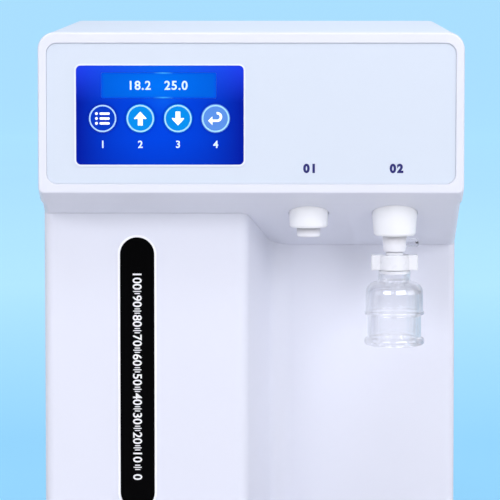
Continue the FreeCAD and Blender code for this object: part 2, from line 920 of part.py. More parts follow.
def socket_shape(y_mouth, depth):
    """Six-sided socket recess, with its two lower corners cut off."""
    half_w = socket_width / 2
    low = inlet_z - socket_height / 2
    high = inlet_z + socket_height / 2
    corners = [
        Vector(inlet_x - half_w, y_mouth, high),
        Vector(inlet_x + half_w, y_mouth, high),
        Vector(inlet_x + half_w, y_mouth, low + socket_chamfer),
        Vector(inlet_x + half_w - socket_chamfer, y_mouth, low),
        Vector(inlet_x - half_w + socket_chamfer, y_mouth, low),
        Vector(inlet_x - half_w, y_mouth, low + socket_chamfer),
    ]
    return prism(corners, [0] * 6, -BACK * depth)


def inlet_pins():
    root_y = rear_y + inlet_flange_thickness - socket_depth
    places = [(-blade_spread, -blade_offset), (0, blade_offset), (blade_spread, -blade_offset)]
    pins = []
    for x, z in places:
        x0 = inlet_x + x - blade_thickness / 2
        z0 = inlet_z + z - blade_width / 2
        pins.append(box(x0, x0 + blade_thickness, root_y, root_y + blade_length, z0, z0 + blade_width))
    return group(pins)


def rocker_axis():
    return rear_y - rocker_radius / 2, inlet_z + rocker_rise


def rocker_switch():
    """Two-sided rocker on a round back, stored with its lower half pressed in."""
    y, z = rocker_axis()
    x0 = inlet_x - rocker_width / 2
    back = rod(rocker_radius, Vector(x0, y, z), RIGHT, rocker_width)
    corners = [
        Vector(x0, y, z - rocker_half_height),
        Vector(x0, y + rocker_reach, z - rocker_half_height),
        Vector(x0, y + rocker_reach - rocker_dip, z),
        Vector(x0, y + rocker_reach, z + rocker_half_height),
        Vector(x0, y, z + rocker_half_height),
    ]
    face = prism(corners, [0] * 5, RIGHT * rocker_width)
    pin = rod(rocker_pin_radius, Vector(x0 - rocker_pin_reach, y, z), RIGHT,
              rocker_width + 2 * rocker_pin_reach)
    shape = fuse([back, face, pin])
    shape.rotate(Vector(x0, y, z), RIGHT, -rocker_tilt)
    return shape


def fuse_drawer():
    face_y = rear_y + inlet_flange_thickness
    z = inlet_z - fuse_drop
    half_w = fuse_width / 2
    half_h = fuse_height / 2
    body = box(inlet_x - half_w, inlet_x + half_w, face_y - fuse_depth, face_y, z - half_h, z + half_h)
    front = box(inlet_x - half_w - fuse_front_margin, inlet_x + half_w + fuse_front_margin, face_y,
                face_y + fuse_front_thickness, z - half_h - fuse_front_margin,
                z + half_h + fuse_front_margin)
    return fuse([body, front])


# Outlets and final filter
def outlet_bracket():
    """Shelf inside the head that both nozzles hang from, on two webs down to the underside."""
    x0 = pure_x - bracket_margin
    x1 = ultrapure_x + bracket_margin
    y0 = outlet_y - bracket_half_depth
    y1 = outlet_y + bracket_half_depth
    z0 = collar_top + nozzle_shoulder
    shelf = box(x0, x1, y0, y1, z0, z0 + bracket_thickness)
    webs = box(x0, x0 + bracket_thickness, y0, y1, head_bottom / 2, z0)
    webs = webs.fuse(box(x1 - bracket_thickness, x1, y0, y1, head_bottom / 2, z0))
    lift = wall * math.sqrt(1 + underside_slope ** 2)
    webs = webs.common(head_below(body_half, lift, 0, front_y, rear_y))
    shape = shelf.fuse(webs)
    for x in (pure_x, ultrapure_x):
        shape = shape.cut(rod(nozzle_shank_radius, Vector(x, outlet_y, z0 - 1), UP,
                              bracket_thickness + 2))
    return shape.removeSplitter()


def outlet_collar(x, radius, draft, bottom, neck):
    """Round collar that narrows a little towards its softened lower rim, free to turn on the neck."""
    profile = [
        (neck + collar_play, bottom),
        (radius - draft - collar_edge, bottom),
        (radius - draft, bottom + collar_edge),
        (radius, bottom + collar_draft_height),
        (radius, collar_top - fit_gap),
        (neck + collar_play, collar_top - fit_gap),
    ]
    shape = turned(profile, x, outlet_y)
    corner = edges_at(shape, lambda p: abs(p.z - bottom - collar_edge) < 1e-6)
    return shape.makeFillet(collar_edge, corner)


def nozzle_profile(neck, tip, bottom):
    top = collar_top + nozzle_shoulder
    shelf_top = top + bracket_thickness
    return [
        (nozzle_bore, bottom),
        (tip - neck_edge, bottom),
        (tip, bottom + neck_edge),
        (neck, bottom + neck_reach),
        (neck, collar_top),
        (nozzle_shoulder_radius, collar_top),
        (nozzle_shoulder_radius, top),
        (nozzle_shank_radius, top),
        (nozzle_shank_radius, shelf_top + wall),
        (nozzle_barb_radius, shelf_top + wall),
        (nozzle_barb_radius, shelf_top + wall + nozzle_barb),
        (nozzle_barb_bore, shelf_top + wall + nozzle_barb),
        (nozzle_barb_bore, bottom + nozzle_barb),
        (nozzle_bore, bottom + nozzle_barb),
    ]


def pure_outlet_nozzle():
    profile = nozzle_profile(pure_neck_radius, pure_neck_tip_radius, pure_neck_bottom)
    return turned(profile, pure_x, outlet_y)


def ultrapure_outlet_nozzle():
    profile = nozzle_profile(ultrapure_neck_radius, ultrapure_neck_tip_radius, ultrapure_neck_bottom)
    shape = turned(profile, ultrapure_x, outlet_y)
    spigot = pipe(spigot_radius, nozzle_barb_bore, Vector(ultrapure_x, outlet_y,
                  ultrapure_neck_bottom - spigot_length), UP, spigot_length + wall)
    groove = Part.makeTorus(spigot_radius, o_ring_radius, o_ring_place(), UP)
    vent = rod(vent_radius - vent_wall, Vector(ultrapure_x, outlet_y, vent_z), RIGHT, vent_reach)
    return shape.fuse(spigot).removeSplitter().cut(groove).cut(vent)


def o_ring_place():
    return Vector(ultrapure_x, outlet_y, ultrapure_neck_bottom - spigot_length / 2)


def outlet_o_ring():
    return Part.makeTorus(spigot_radius, o_ring_radius - o_ring_play, o_ring_place(), UP)


def vent_valve():
    """Small clear vent stub on the side of the ultrapure nozzle."""
    start = Vector(ultrapure_x + nozzle_bore + vent_wall, outlet_y, vent_z)
    plug = rod(vent_radius - vent_wall - vent_play, start, RIGHT, vent_reach - nozzle_bore - vent_wall)
    begin = ultrapure_neck_radius + fit_gap
    barrel = rod(vent_radius, Vector(ultrapure_x + begin, outlet_y, vent_z), RIGHT, vent_reach - begin)
    barrel = barrel.makeFillet(vent_radius - vent_mouth_radius - vent_wall / 4,
                               edges_at(barrel, lambda p: p.x > ultrapure_x + vent_reach - 1))
    mouth = rod(vent_mouth_radius, Vector(ultrapure_x + vent_reach, outlet_y, vent_z), -RIGHT,
                vent_mouth_depth)
    return fuse([plug, barrel]).cut(mouth)


def capsule_inlet():
    """Clear tube that slips over the spigot and carries the wing collar."""
    bore = spigot_radius + inlet_play
    low = wing_bottom - wall
    profile = [
        (bore, low),
        (neck_inner_radius - fit_gap / 2, low),
        (neck_inner_radius - fit_gap / 2, wing_bottom - capsule_gap / 2),
        (inlet_radius, wing_bottom - capsule_gap / 2),
        (inlet_radius, inlet_top),
        (bore + o_ring_radius, inlet_top),
        (bore + o_ring_radius, inlet_top - spigot_length + wall),
        (bore, inlet_top - spigot_length + wall),
    ]
    return turned(profile, ultrapure_x, outlet_y)


def wing_collar():
    """Clear locking collar with a wing on each side."""
    bore = inlet_radius + wing_play
    hub = pipe(wing_hub_radius, bore, Vector(ultrapure_x, outlet_y, wing_bottom), UP,
               wing_top - wing_bottom)
    wings = slab(wing_span, wing_breadth, wing_edge, ultrapure_x, outlet_y, wing_bottom, wing_top)
    wings = wings.cut(rod(bore, Vector(ultrapure_x, outlet_y, wing_bottom - 1), UP,
                          wing_top - wing_bottom + 2))
    shape = fuse([hub, wings])
    rims = [edge for edge in shape.Edges
            if all(abs(v.Point.z - wing_top) < 1e-6 for v in edge.Vertexes)
            and not (edge.Curve.TypeId == "Part::GeomCircle" and edge.Curve.Radius < wing_hub_radius - 1
                     and edge.Curve.Radius > wing_edge + 1)]
    return shape.makeFillet(wing_edge / 2, rims)


def capsule_bell():
    """Clear bell: neck, round shoulder, two walls with a ring between them, and a rim."""
    outer = neck_radius
    inner = neck_inner_radius
    ring_low = bell_ring_z - bell_ring_height / 2
    ring_high = bell_ring_z + bell_ring_height / 2
    shoulder_low = shoulder_top - bell_shoulder_radius
    neck_top = wing_bottom - capsule_gap
    inner_bell = bell_radius - bell_wall
    inner_lower = bell_lower_radius - bell_wall
    foot = bell_lower_radius + bell_foot_step
    rim_z = (bell_rim_top + bell_bottom) / 2 + bell_rim_bulge

    def at(radius, z):
        return Vector(ultrapure_x + radius, outlet_y, z)

    def shoulder(small, large, high):
        part = math.sqrt(0.5)
        middle = at(small + (large - small) * part, shoulder_low + (high - shoulder_low) * part)
        return Part.Arc(at(small, high), middle, at(large, shoulder_low))

    outside = [
        at(bell_radius, shoulder_low),
        at(bell_radius, ring_high + bell_ring_rise),
        at(bell_ring_radius, ring_high),
        at(bell_ring_radius, ring_low),
        at(bell_lower_radius, ring_low - bell_ring_fall),
        at(bell_lower_radius, bell_rim_top),
    ]
    inside = [
        at(foot, bell_bottom),
        at(inner_lower, bell_bottom),
        at(inner_lower, ring_low),
        at(inner_bell, ring_low),
        at(inner_bell, shoulder_low),
    ]
    neck = [
        at(inner, shoulder_top - bell_wall),
        at(inner, neck_top),
        at(outer, neck_top),
        at(outer, shoulder_top),
    ]
    edges = Part.makePolygon(neck).Edges
    edges += [shoulder(outer, bell_radius, shoulder_top).toShape()]
    edges += Part.makePolygon(outside).Edges
    edges += [Part.Arc(outside[-1], at(bell_rim_radius, rim_z), inside[0]).toShape()]
    edges += Part.makePolygon(inside).Edges
    edges += [shoulder(inner, inner_bell, shoulder_top - bell_wall).toShape()]
    face = Part.Face(Part.Wire(edges))
    return face.revolve(Vector(ultrapure_x, outlet_y, 0), UP, 360)


def filter_membrane():
    """Thin round membrane that rests on the ledge behind the bell's ring."""
    z0 = bell_ring_z - bell_ring_height / 2
    radius = bell_radius - bell_wall - membrane_gap
    return rod(radius, Vector(ultrapure_x, outlet_y, z0), UP, membrane_thickness)


# Base, tray and feet
def base_pan():
    y_mid = (base_front_y + rear_y) / 2
    shape = slab(2 * body_half, rear_y - base_front_y, base_corner_radius, 0, y_mid,
                 foot_height, base_top)
    shape = shape.makeFillet(base_edge, edges_at(shape, lambda p: p.z < foot_height + 1))
    shape = shape.cut(body_plan(base_ledge, base_floor, base_top + 1))
    pocket_w = tray_width + 2 * tray_gap
    pocket_l = tray_length + 2 * tray_gap
    shape = shape.cut(slab(pocket_w, pocket_l, tray_radius + tray_gap, tray_x, tray_y,
                           tray_bottom - tray_gap, base_top + 1))
    for x, y in foot_places():
        shape = shape.cut(rod(foot_stem_radius, Vector(x, y, foot_height - 1), UP, wall + 1))
    return shape


def foot_places():
    x = body_half - foot_inset_x
    y0 = base_front_y + foot_inset_y
    y1 = rear_y - foot_inset_y
    return [(-x, y0), (x, y0), (-x, y1), (x, y1)]


def rubber_feet():
    feet = []
    for x, y in foot_places():
        foot = rod(foot_radius, Vector(x, y, 0), UP, foot_height)
        foot = foot.makeFillet(foot_edge, edges_at(foot, lambda p: p.z < 1))
        stem = rod(foot_stem_radius - foot_play, Vector(x, y, foot_height), UP, wall)
        feet.append(fuse([foot, stem]))
    return group(feet)


def drip_tray():
    shape = slab(tray_width, tray_length, tray_radius, tray_x, tray_y, tray_bottom, base_top)
    rim = slab(tray_width + 2 * tray_rim, tray_length + 2 * tray_rim, tray_radius + tray_rim,
               tray_x, tray_y, base_top, base_top + tray_rim_height)
    shape = fuse([shape, rim])
    inner_w = tray_width - 2 * tray_wall
    inner_l = tray_length - 2 * tray_wall
    ledge_z = base_top + tray_rim_height - grille_thickness
    mouth = slab(inner_w, inner_l, tray_radius - tray_wall, tray_x, tray_y, ledge_z,
                 base_top + tray_rim_height + 1)
    bowl = slab(inner_w - 2 * grille_ledge, inner_l - 2 * grille_ledge,
                tray_radius - tray_wall - grille_ledge, tray_x, tray_y, tray_bottom + tray_wall,
                base_top + tray_rim_height + 1)
    return shape.cut(mouth).cut(bowl)


def drip_grille():
    outer_w = tray_width - 2 * tray_wall - 2 * fit_gap
    outer_l = tray_length - 2 * tray_wall - 2 * fit_gap
    z0 = base_top + tray_rim_height - grille_thickness
    shape = slab(outer_w, outer_l, tray_radius - tray_wall - fit_gap, tray_x, tray_y, z0,
                 z0 + grille_thickness)
    span = outer_w - 2 * grille_margin - grille_slot_width
    count = int(span / grille_slot_pitch) + 1
    first = tray_x - (count - 1) * grille_slot_pitch / 2
    slots = [slab(grille_slot_width, outer_l - 2 * grille_margin, grille_slot_width / 2,
                  first + index * grille_slot_pitch, tray_y, z0 - 1, z0 + grille_thickness + 1)
             for index in range(count)]
    return shape.cut(group(slots))


# Inside
def bulkhead():
    y0 = column_y + wall + clip_thickness
    y1 = rear_y - wall - rear_flange_thickness
    shape = box(bulkhead_x, bulkhead_x + wall, y0, y1, base_floor, bulkhead_top)
    foot = box(bulkhead_x, bulkhead_x + rear_flange, y0, y1, base_floor, base_floor + wall)
    return fuse([shape, foot])


def cartridge_places():
    return [cartridge_middle_y + (index - 1) * cartridge_pitch for index in range(3)]


def cartridge(y):
    """Round housing between its two end caps."""
    return rod(cartridge_radius, Vector(cartridge_x, y, cartridge_bottom), UP,
               cartridge_top - cartridge_bottom)


def cartridge_caps():
    caps = []
    radius = cartridge_radius + cartridge_cap_extra
    for y in cartridge_places():
        for z, direction in ((cartridge_bottom, -UP), (cartridge_top, UP)):
            start = Vector(cartridge_x, y, z)
            cap = rod(radius, start, direction, cartridge_cap_height)
            far = z + direction.z * cartridge_cap_height
            cap = cap.makeFillet(cartridge_dome_radius, edges_at(cap, lambda p: abs(p.z - far) < 1e-6))
            stub = rod(cartridge_port_radius, start + direction * cartridge_cap_height, direction,
                       cartridge_port)
            caps.append(fuse([cap, stub]))
    return group(caps)


def cartridge_clips():
    """Spring clips on the bulkhead that grip each cartridge near both ends."""
    clips = []
    outer = cartridge_radius + fit_gap + clip_thickness
    inner = cartridge_radius + fit_gap
    for y in cartridge_places():
        for z in (cartridge_bottom + clip_z_inset, cartridge_top - clip_z_inset):
            start = Vector(cartridge_x, y, z - clip_height / 2)
            ring = pipe(outer, inner, start, UP, clip_height)
            mouth = box(cartridge_x - 2 * outer, cartridge_x - inner / 3, y - 2 * clip_opening_width,
                        y + 2 * clip_opening_width,
                        z - clip_height, z + clip_height)
            base = box(cartridge_x + inner, bulkhead_x, y - clip_height, y + clip_height,
                       z - clip_height / 2, z + clip_height / 2)
            base = base.cut(rod(inner, start, UP, clip_height))
            clips.append(fuse([ring.cut(mouth), base]))
    return group(clips)


def booster_pump():
    z0 = base_floor
    half = pump_head / 2
    y0 = pump_y - pump_head_length
    head = box(pump_x - half, pump_x + half, y0, pump_y, z0 + pump_foot, z0 + pump_foot + pump_head)
    head = head.makeFillet(pump_edge, edges_at_corners(head))
    foot = box(pump_x - half, pump_x + half, y0, pump_y, z0, z0 + pump_foot)
    stubs = []
    for side in (-1, 1):
        stubs.append(rod(cartridge_port_radius, Vector(pump_x + side * half, (y0 + pump_y) / 2,
                         z0 + pump_foot + half), RIGHT * side, cartridge_port))
    return fuse([head, foot] + stubs)


def edges_at_corners(shape):
    """Straight edges that run front to back."""
    return [edge for edge in shape.Edges
            if abs(edge.Vertexes[0].Point.y - edge.Vertexes[-1].Point.y) > 1]


def pump_motor():
    z = base_floor + pump_foot + pump_head / 2
    can = rod(motor_radius, Vector(pump_x, pump_y, z), BACK, motor_length)
    return can.makeFillet(motor_edge, edges_at(can, lambda p: p.y > pump_y + 1))


def uv_lamp_housing():
    tube = rod(uv_radius, Vector(uv_x, uv_y, base_floor), UP, uv_length)
    ends = [rod(uv_radius + uv_end_extra, Vector(uv_x, uv_y, z), UP, uv_end_height)
            for z in (base_floor, base_floor + uv_length - uv_end_height)]
    return fuse([tube] + ends)


def power_supply():
    half = supply_width / 2
    shape = box(supply_x - half, supply_x + half, supply_y - supply_length / 2,
                supply_y + supply_length / 2, base_floor, base_floor + supply_height)
    return shape


def control_board():
    x0 = bulkhead_x + wall
    half_w = circuit_width / 2
    half_h = circuit_height / 2
    board = box(x0 + circuit_stand_off, x0 + circuit_stand_off + board_thickness, circuit_y - half_w,
                circuit_y + half_w, circuit_z - half_h, circuit_z + half_h)
    legs = []
    for side in (-1, 1):
        for rise in (-1, 1):
            y = circuit_y + side * (half_w - 2 * board_post_radius)
            z = circuit_z + rise * (half_h - 2 * board_post_radius)
            legs.append(rod(board_post_radius, Vector(x0, y, z), RIGHT, circuit_stand_off))
    return fuse([board] + legs)


def solenoid_valves():
    valves = []
    x0 = bulkhead_x + wall
    half = valve_size / 2
    for index in range(2):
        y = valve_y + index * valve_pitch
        block = box(x0, x0 + valve_size, y - half, y + half, valve_z - half, valve_z + half)
        coil = rod(valve_coil_radius, Vector(x0 + half, y, valve_z + half), UP, valve_size)
        valves.append(fuse([block, coil]))
    return group(valves)


def conductivity_cell():
    """In-line cell clamped to the bulkhead."""
    x = bulkhead_x + wall + cell_radius + cell_clamp
    y = valve_y - valve_pitch
    cell = rod(cell_radius, Vector(x, y, cell_z), UP, cell_length)
    clamp = box(bulkhead_x + wall, x, y - cell_radius, y + cell_radius, cell_z + cell_length / 3,
                cell_z + cell_length / 2)
    return fuse([cell, clamp])


def hose(points):
    """Round tube along straight runs joined by tangent arcs."""
    edges = []
    start = points[0]
    for index in range(1, len(points) - 1):
        here = points[index]
        to_last = (points[index - 1] - here)
        to_next = (points[index + 1] - here)
        shorter = min(to_last.Length, to_next.Length)
        to_last.normalize()
        to_next.normalize()
        half = to_last.getAngle(to_next) / 2
        setback = hose_bend_share * shorter
        radius = setback * math.tan(half)
        middle = here + (to_last + to_next).normalize() * (radius / math.sin(half) - radius)
        begin = here + to_last * setback
        end = here + to_next * setback
        edges.append(Part.LineSegment(start, begin).toShape())
        edges.append(Part.Arc(begin, middle, end).toShape())
        start = end
    edges.append(Part.LineSegment(start, points[-1]).toShape())
    path = Part.Wire(edges)
    first = (points[1] - points[0]).normalize()
    ring = Part.Wire([Part.makeCircle(hose_radius, points[0], first)])
    return path.makePipeShell([ring], True, True)


def internal_tubes():
    """Tubes from the nozzles' barbs back to the conductivity cell and the first valve."""
    barb_top = collar_top + nozzle_shoulder + bracket_thickness + wall + nozzle_barb
    rise = height - wall - hose_ceiling_gap
    cell_x = bulkhead_x + wall + cell_radius + cell_clamp
    cell_y = valve_y - valve_pitch
    arch = rise + hose_arch

    def on_the_way(share, z):
        return Vector(ultrapure_x + (cell_x - ultrapure_x) * share, outlet_y + (cell_y - outlet_y) * share, z)

    to_cell = hose([
        Vector(ultrapure_x, outlet_y, barb_top),
        Vector(ultrapure_x, outlet_y, rise),
        on_the_way(hose_near_share, arch),
        on_the_way(hose_far_share, arch + hose_crest),
        on_the_way(1, arch),
        Vector(cell_x, cell_y, cell_z + cell_length),
    ])
    valve_x = bulkhead_x + wall + valve_size
    crown = rise - valve_hose_dip
    to_valve = hose([
        Vector(pure_x, outlet_y, barb_top),
        Vector(pure_x, outlet_y, crown),
        Vector(pure_x - valve_hose_lean, outlet_y + valve_hose_reach, crown + valve_hose_bow),
        Vector(pure_x - 2 * valve_hose_lean, valve_y - valve_hose_approach, rise - valve_hose_fall),
        Vector(pure_x - 3 * valve_hose_lean, valve_y - valve_hose_bow, valve_z + valve_hose_approach),
        Vector(valve_x + valve_size, valve_y, valve_z),
        Vector(valve_x, valve_y, valve_z),
    ])
    return group([to_cell, to_valve])


def build():
    os.makedirs("parts", exist_ok=True)
    save("head_bezel", head_bezel())
    save("control_panel", control_panel())
    save("display_overlay", display_overlay())
    save("lcd_window", lcd_window())
    save("lcd_module", lcd_module())
    for name, x in zip(key_names, key_places()):
        save("key_" + name, key(x))
    save("tact_switches", tact_switches())
    save("keypad_board", keypad_board())
    save("underside_panel", underside_panel())
    save("front_cover", front_cover())
    save("strip_lens", strip_lens())
    save("strip_trim", strip_trim())
    save("top_cover", top_cover())
    save("left_side_panel", left_side_panel())
    save("right_side_panel", right_side_panel())
    save("service_door", service_door())
    save("door_hinge_pins", door_hinge_pins())
    save("door_touch_latch", door_touch_latch())
    save("rear_panel", rear_panel())
    save("rear_screws", rear_screws())
    save("tube_ports", tube_ports())
    for name, x in zip(("feed_collet", "drain_collet", "tank_collet"), port_places()):
        save(name, collet(x))
    save("power_inlet", power_inlet())
    save("inlet_pins", inlet_pins())
    save("rocker_switch", rocker_switch())
    save("fuse_drawer", fuse_drawer())
    save("outlet_bracket", outlet_bracket())
    save("pure_outlet_collar", outlet_collar(pure_x, pure_collar_radius, pure_collar_draft,
                                             pure_collar_bottom, pure_neck_radius))
    save("ultrapure_outlet_collar", outlet_collar(ultrapure_x, ultrapure_collar_radius,
                                                  ultrapure_collar_draft, ultrapure_collar_bottom,
                                                  ultrapure_neck_radius))
    save("pure_outlet_nozzle", pure_outlet_nozzle())
    save("ultrapure_outlet_nozzle", ultrapure_outlet_nozzle())
    save("outlet_o_ring", outlet_o_ring())
    save("vent_valve", vent_valve())
    save("capsule_inlet", capsule_inlet())
    save("wing_collar", wing_collar())
    save("capsule_bell", capsule_bell())
    save("filter_membrane", filter_membrane())
    save("base_pan", base_pan())
    save("rubber_feet", rubber_feet())
    save("drip_tray", drip_tray())
    save("drip_grille", drip_grille())
    save("bulkhead", bulkhead())
    for name, y in zip(("prefilter_cartridge", "ro_membrane_housing", "polishing_cartridge"),
                       cartridge_places()):
        save(name, cartridge(y))
    save("cartridge_caps", cartridge_caps())
    save("cartridge_clips", cartridge_clips())
    save("booster_pump", booster_pump())
    save("pump_motor", pump_motor())
    save("uv_lamp_housing", uv_lamp_housing())
    save("power_supply", power_supply())
    save("control_board", control_board())
    save("solenoid_valves", solenoid_valves())
    save("conductivity_cell", conductivity_cell())
    save("internal_tubes", internal_tubes())


build()
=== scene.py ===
"""Looks of a benchtop ultrapure water system, dressed over its fixed frame. Metres."""
import json
import math

import bmesh
import bpy
from mathutils import Matrix, Vector


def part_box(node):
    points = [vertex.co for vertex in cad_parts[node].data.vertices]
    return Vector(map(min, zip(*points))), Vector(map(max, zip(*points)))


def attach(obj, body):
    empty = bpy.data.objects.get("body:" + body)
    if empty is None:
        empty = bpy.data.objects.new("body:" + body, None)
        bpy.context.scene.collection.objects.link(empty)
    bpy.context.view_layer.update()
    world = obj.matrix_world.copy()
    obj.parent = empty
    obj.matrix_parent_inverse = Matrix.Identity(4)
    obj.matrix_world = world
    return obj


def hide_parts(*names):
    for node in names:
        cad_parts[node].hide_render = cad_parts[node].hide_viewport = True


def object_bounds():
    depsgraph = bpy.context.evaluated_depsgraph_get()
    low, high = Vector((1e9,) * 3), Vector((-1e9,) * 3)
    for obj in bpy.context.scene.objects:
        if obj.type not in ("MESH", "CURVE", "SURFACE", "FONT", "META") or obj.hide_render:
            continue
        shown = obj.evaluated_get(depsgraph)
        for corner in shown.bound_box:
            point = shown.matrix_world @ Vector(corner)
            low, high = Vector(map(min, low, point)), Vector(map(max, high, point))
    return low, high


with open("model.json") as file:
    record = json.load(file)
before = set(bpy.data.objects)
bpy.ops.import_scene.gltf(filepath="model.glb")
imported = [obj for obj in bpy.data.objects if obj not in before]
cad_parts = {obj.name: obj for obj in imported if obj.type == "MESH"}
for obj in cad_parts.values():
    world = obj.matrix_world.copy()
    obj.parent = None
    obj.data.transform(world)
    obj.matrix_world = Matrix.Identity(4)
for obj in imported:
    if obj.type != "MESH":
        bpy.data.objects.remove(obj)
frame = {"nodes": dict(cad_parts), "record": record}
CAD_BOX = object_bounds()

MM = 0.001

# Ways for lettering and flat shapes to face: across, up and out of the surface
TO_FRONT = Matrix(((1, 0, 0), (0, 0, -1), (0, 1, 0))).to_4x4()
DOWN_FRONT = Matrix(((0, 1, 0), (0, 0, -1), (-1, 0, 0))).to_4x4()
TO_RIGHT = Matrix(((0, 0, 1), (1, 0, 0), (0, 1, 0))).to_4x4()
TO_REAR = Matrix(((-1, 0, 0), (0, 0, 1), (0, 1, 0))).to_4x4()
UPRIGHT = Matrix.Identity(4)

PRINT = 0.06 * MM
ROUND_STEPS = 96
SMALL_ROUND_STEPS = 48
CIRCLE_STEPS = 24
CORNER_STEPS = 6

KEYS = ("key_list", "key_up", "key_down", "key_return")
CAP_DEPTH = 0.6 * MM


# Places on the frame
def centre(node):
    low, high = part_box(node)
    return (low + high) / 2


def cap_radius():
    """Radius of a key's cap, which is its front face."""
    node = frame["nodes"]["key_list"]
    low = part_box("key_list")[0]
    middle = centre("key_list")
    front = [v.co for v in node.data.vertices if v.co.y < low.y + CAP_DEPTH]
    return max(math.hypot(co.x - middle.x, co.z - middle.z) for co in front)


def panel_face():
    """Depth of the control panel's flat face, under the raised rim round the display."""
    start = centre("pure_outlet_collar").x
    return min(v.co.y for v in frame["nodes"]["control_panel"].data.vertices if v.co.x > start)


# Shader sums
EDGE_SAMPLES = 4


class Value:
    """A shader socket that can be used in arithmetic."""

    def __init__(self, tree, socket):
        self.tree = tree
        self.socket = socket

    def sum(self, operation, first, second):
        node = self.tree.nodes.new("ShaderNodeMath")
        node.operation = operation
        for place, value in zip(node.inputs, (first, second)):
            feed(self.tree, place, value)
        return Value(self.tree, node.outputs[0])

    def __add__(self, other):
        return self.sum("ADD", self, other)

    __radd__ = __add__

    def __sub__(self, other):
        return self.sum("SUBTRACT", self, other)

    def __rsub__(self, other):
        return self.sum("SUBTRACT", other, self)

    def __mul__(self, other):
        return self.sum("MULTIPLY", self, other)

    __rmul__ = __mul__

    def __truediv__(self, other):
        return self.sum("DIVIDE", self, other)

    def __pow__(self, other):
        return self.sum("POWER", self, other)

    def __abs__(self):
        return self.sum("ABSOLUTE", self, 0)

    def above(self, other):
        return self.sum("GREATER_THAN", self, other)


def feed(tree, place, value):
    """Link a socket, or set its own value."""
    if isinstance(value, Value):
        tree.links.new(value.socket, place)
    else:
        place.default_value = value


class Finish:
    """A material being made, with its one shader."""

    def __init__(self, name, colour, roughness, **constants):
        self.material = bpy.data.materials.new(name)
        self.material.use_nodes = True
        self.tree = self.material.node_tree
        self.shader = self.tree.nodes["Principled BSDF"]
        self.set("Base Color", colour)
        self.set("Roughness", roughness)
        for key, value in constants.items():
            self.set(key.replace("_", " "), value)

    def set(self, name, value):
        if isinstance(value, tuple) and len(value) == 3:
            value = (*value, 1)
        feed(self.tree, self.shader.inputs[name], value)

    def node(self, kind, settings=None, values=None, output=0):
        """Any node: its settings first, then the values or links of its sockets."""
        node = self.tree.nodes.new(kind)
        for key, setting in (settings or {}).items():
            setattr(node, key, setting)
        for key, value in (values or {}).items():
            feed(self.tree, node.inputs[key], value)
        return Value(self.tree, node.outputs[output])

    def place(self):
        """Position on the object, in metres."""
        return self.node("ShaderNodeTexCoord", output="Object")

    def across(self):
        """Separate x, y and z of the position."""
        return [self.node("ShaderNodeSeparateXYZ", values={0: self.place()}, output=i)
                for i in range(3)]

    def noise(self, scale, detail, stretch=None):
        """Cloudy mask, finer as the scale grows, closer together along the axes with a larger stretch."""
        where = self.place()
        if stretch:
            where = self.node("ShaderNodeVectorMath", {"operation": "MULTIPLY"}, {0: where, 1: stretch})
        return self.node("ShaderNodeTexNoise", values={"Vector": where, "Scale": scale, "Detail": detail})

    def mix(self, share, first, second):
        """The first colour where the share is 0, the second where it is 1."""
        colours = [(*c, 1) if isinstance(c, tuple) else c for c in (first, second)]
        return self.node("ShaderNodeMix", {"data_type": "RGBA"},
                         {0: share, 6: colours[0], 7: colours[1]}, output=2)

    def clamp(self, value):
        return self.node("ShaderNodeClamp", values={0: value})

    def rise(self, value, start, gain):
        """Mask that grows from 0 at a start, by a gain for each unit, and stays at 1."""
        return self.clamp((value - start) * gain)

    def uneven_gloss(self, least, swing, mask):
        """Roughness from its least value up, by a swing where the mask is 1."""
        self.set("Roughness", least + swing * mask)

    def bump(self, height, strength, depth, normal=None):
        values = {"Height": height, "Strength": strength, "Distance": depth}
        if normal:
            values["Normal"] = normal
        self.set("Normal", self.node("ShaderNodeBump", values=values))

    def soft_edges(self, radius):
        return self.node("ShaderNodeBevel", {"samples": EDGE_SAMPLES}, {"Radius": radius})


# What several finishes share
BLACK = (0.0, 0.0, 0.0)
LIT_SHARE = 0.5


def tinted(colour, factor):
    """The colour made deeper or paler by a factor."""
    return tuple(min(1, c * factor) for c in colour)


def lit(made, colour):
    """A printed colour that shows half by its own light and half by the room's."""
    made.set("Base Color", made.mix(LIT_SHARE, colour, BLACK))
    made.set("Emission Color", colour)
    made.set("Emission Strength", LIT_SHARE)


def from_middle(made, node):
    """How far a place is from a node's middle, across and up, as shares of its half size."""
    low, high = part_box(node)
    middle = (low + high) / 2
    half = (high - low) / 2
    x, _, z = made.across()
    return (x - middle.x) / half.x, (z - middle.z) / half.z


def glow(made, across, up, narrow, flat):
    """Soft oval spot that fades to nothing at 1 / narrow across and 1 / flat up or down."""
    across = across * narrow
    up = up * flat
    return made.clamp(1 - (across * across + up * up) ** 0.5)


def see_through(made, share):
    """Let part of the light straight through, as a thin clear wall does."""
    straight = made.node("ShaderNodeBsdfTransparent")
    surface = Value(made.tree, made.shader.outputs[0])
    blend = made.node("ShaderNodeMixShader", values={0: 1 - share, 1: straight, 2: surface})
    feed(made.tree, made.tree.nodes["Material Output"].inputs["Surface"], blend)


# Finishes of plain materials, with the ways that the scratches of brushed metal run
ALONG_X = (1, 40, 40)
ALONG_Y = (40, 1, 40)
ALONG_Z = (40, 40, 1)
DUST_GAIN = 1.8
DUST_LIFT = 0.01


def moulded(name, colour, roughness=0.42, grain=0.02 * MM, tone=0.03, edge=0.5 * MM, **constants):
    """Moulded plastic: a fine eroded grain, faint cloudiness and slightly uneven gloss."""
    made = Finish(name, colour, roughness, **constants)
    cloud = made.noise(scale=9, detail=2)
    made.set("Base Color", made.mix(cloud, tinted(colour, 1 - tone), tinted(colour, 1 + tone)))
    made.uneven_gloss(roughness - 0.05, swing=0.1, mask=made.noise(scale=60, detail=3))
    made.bump(made.noise(scale=2600, detail=2), strength=0.35, depth=grain, normal=made.soft_edges(edge))
    return made.material


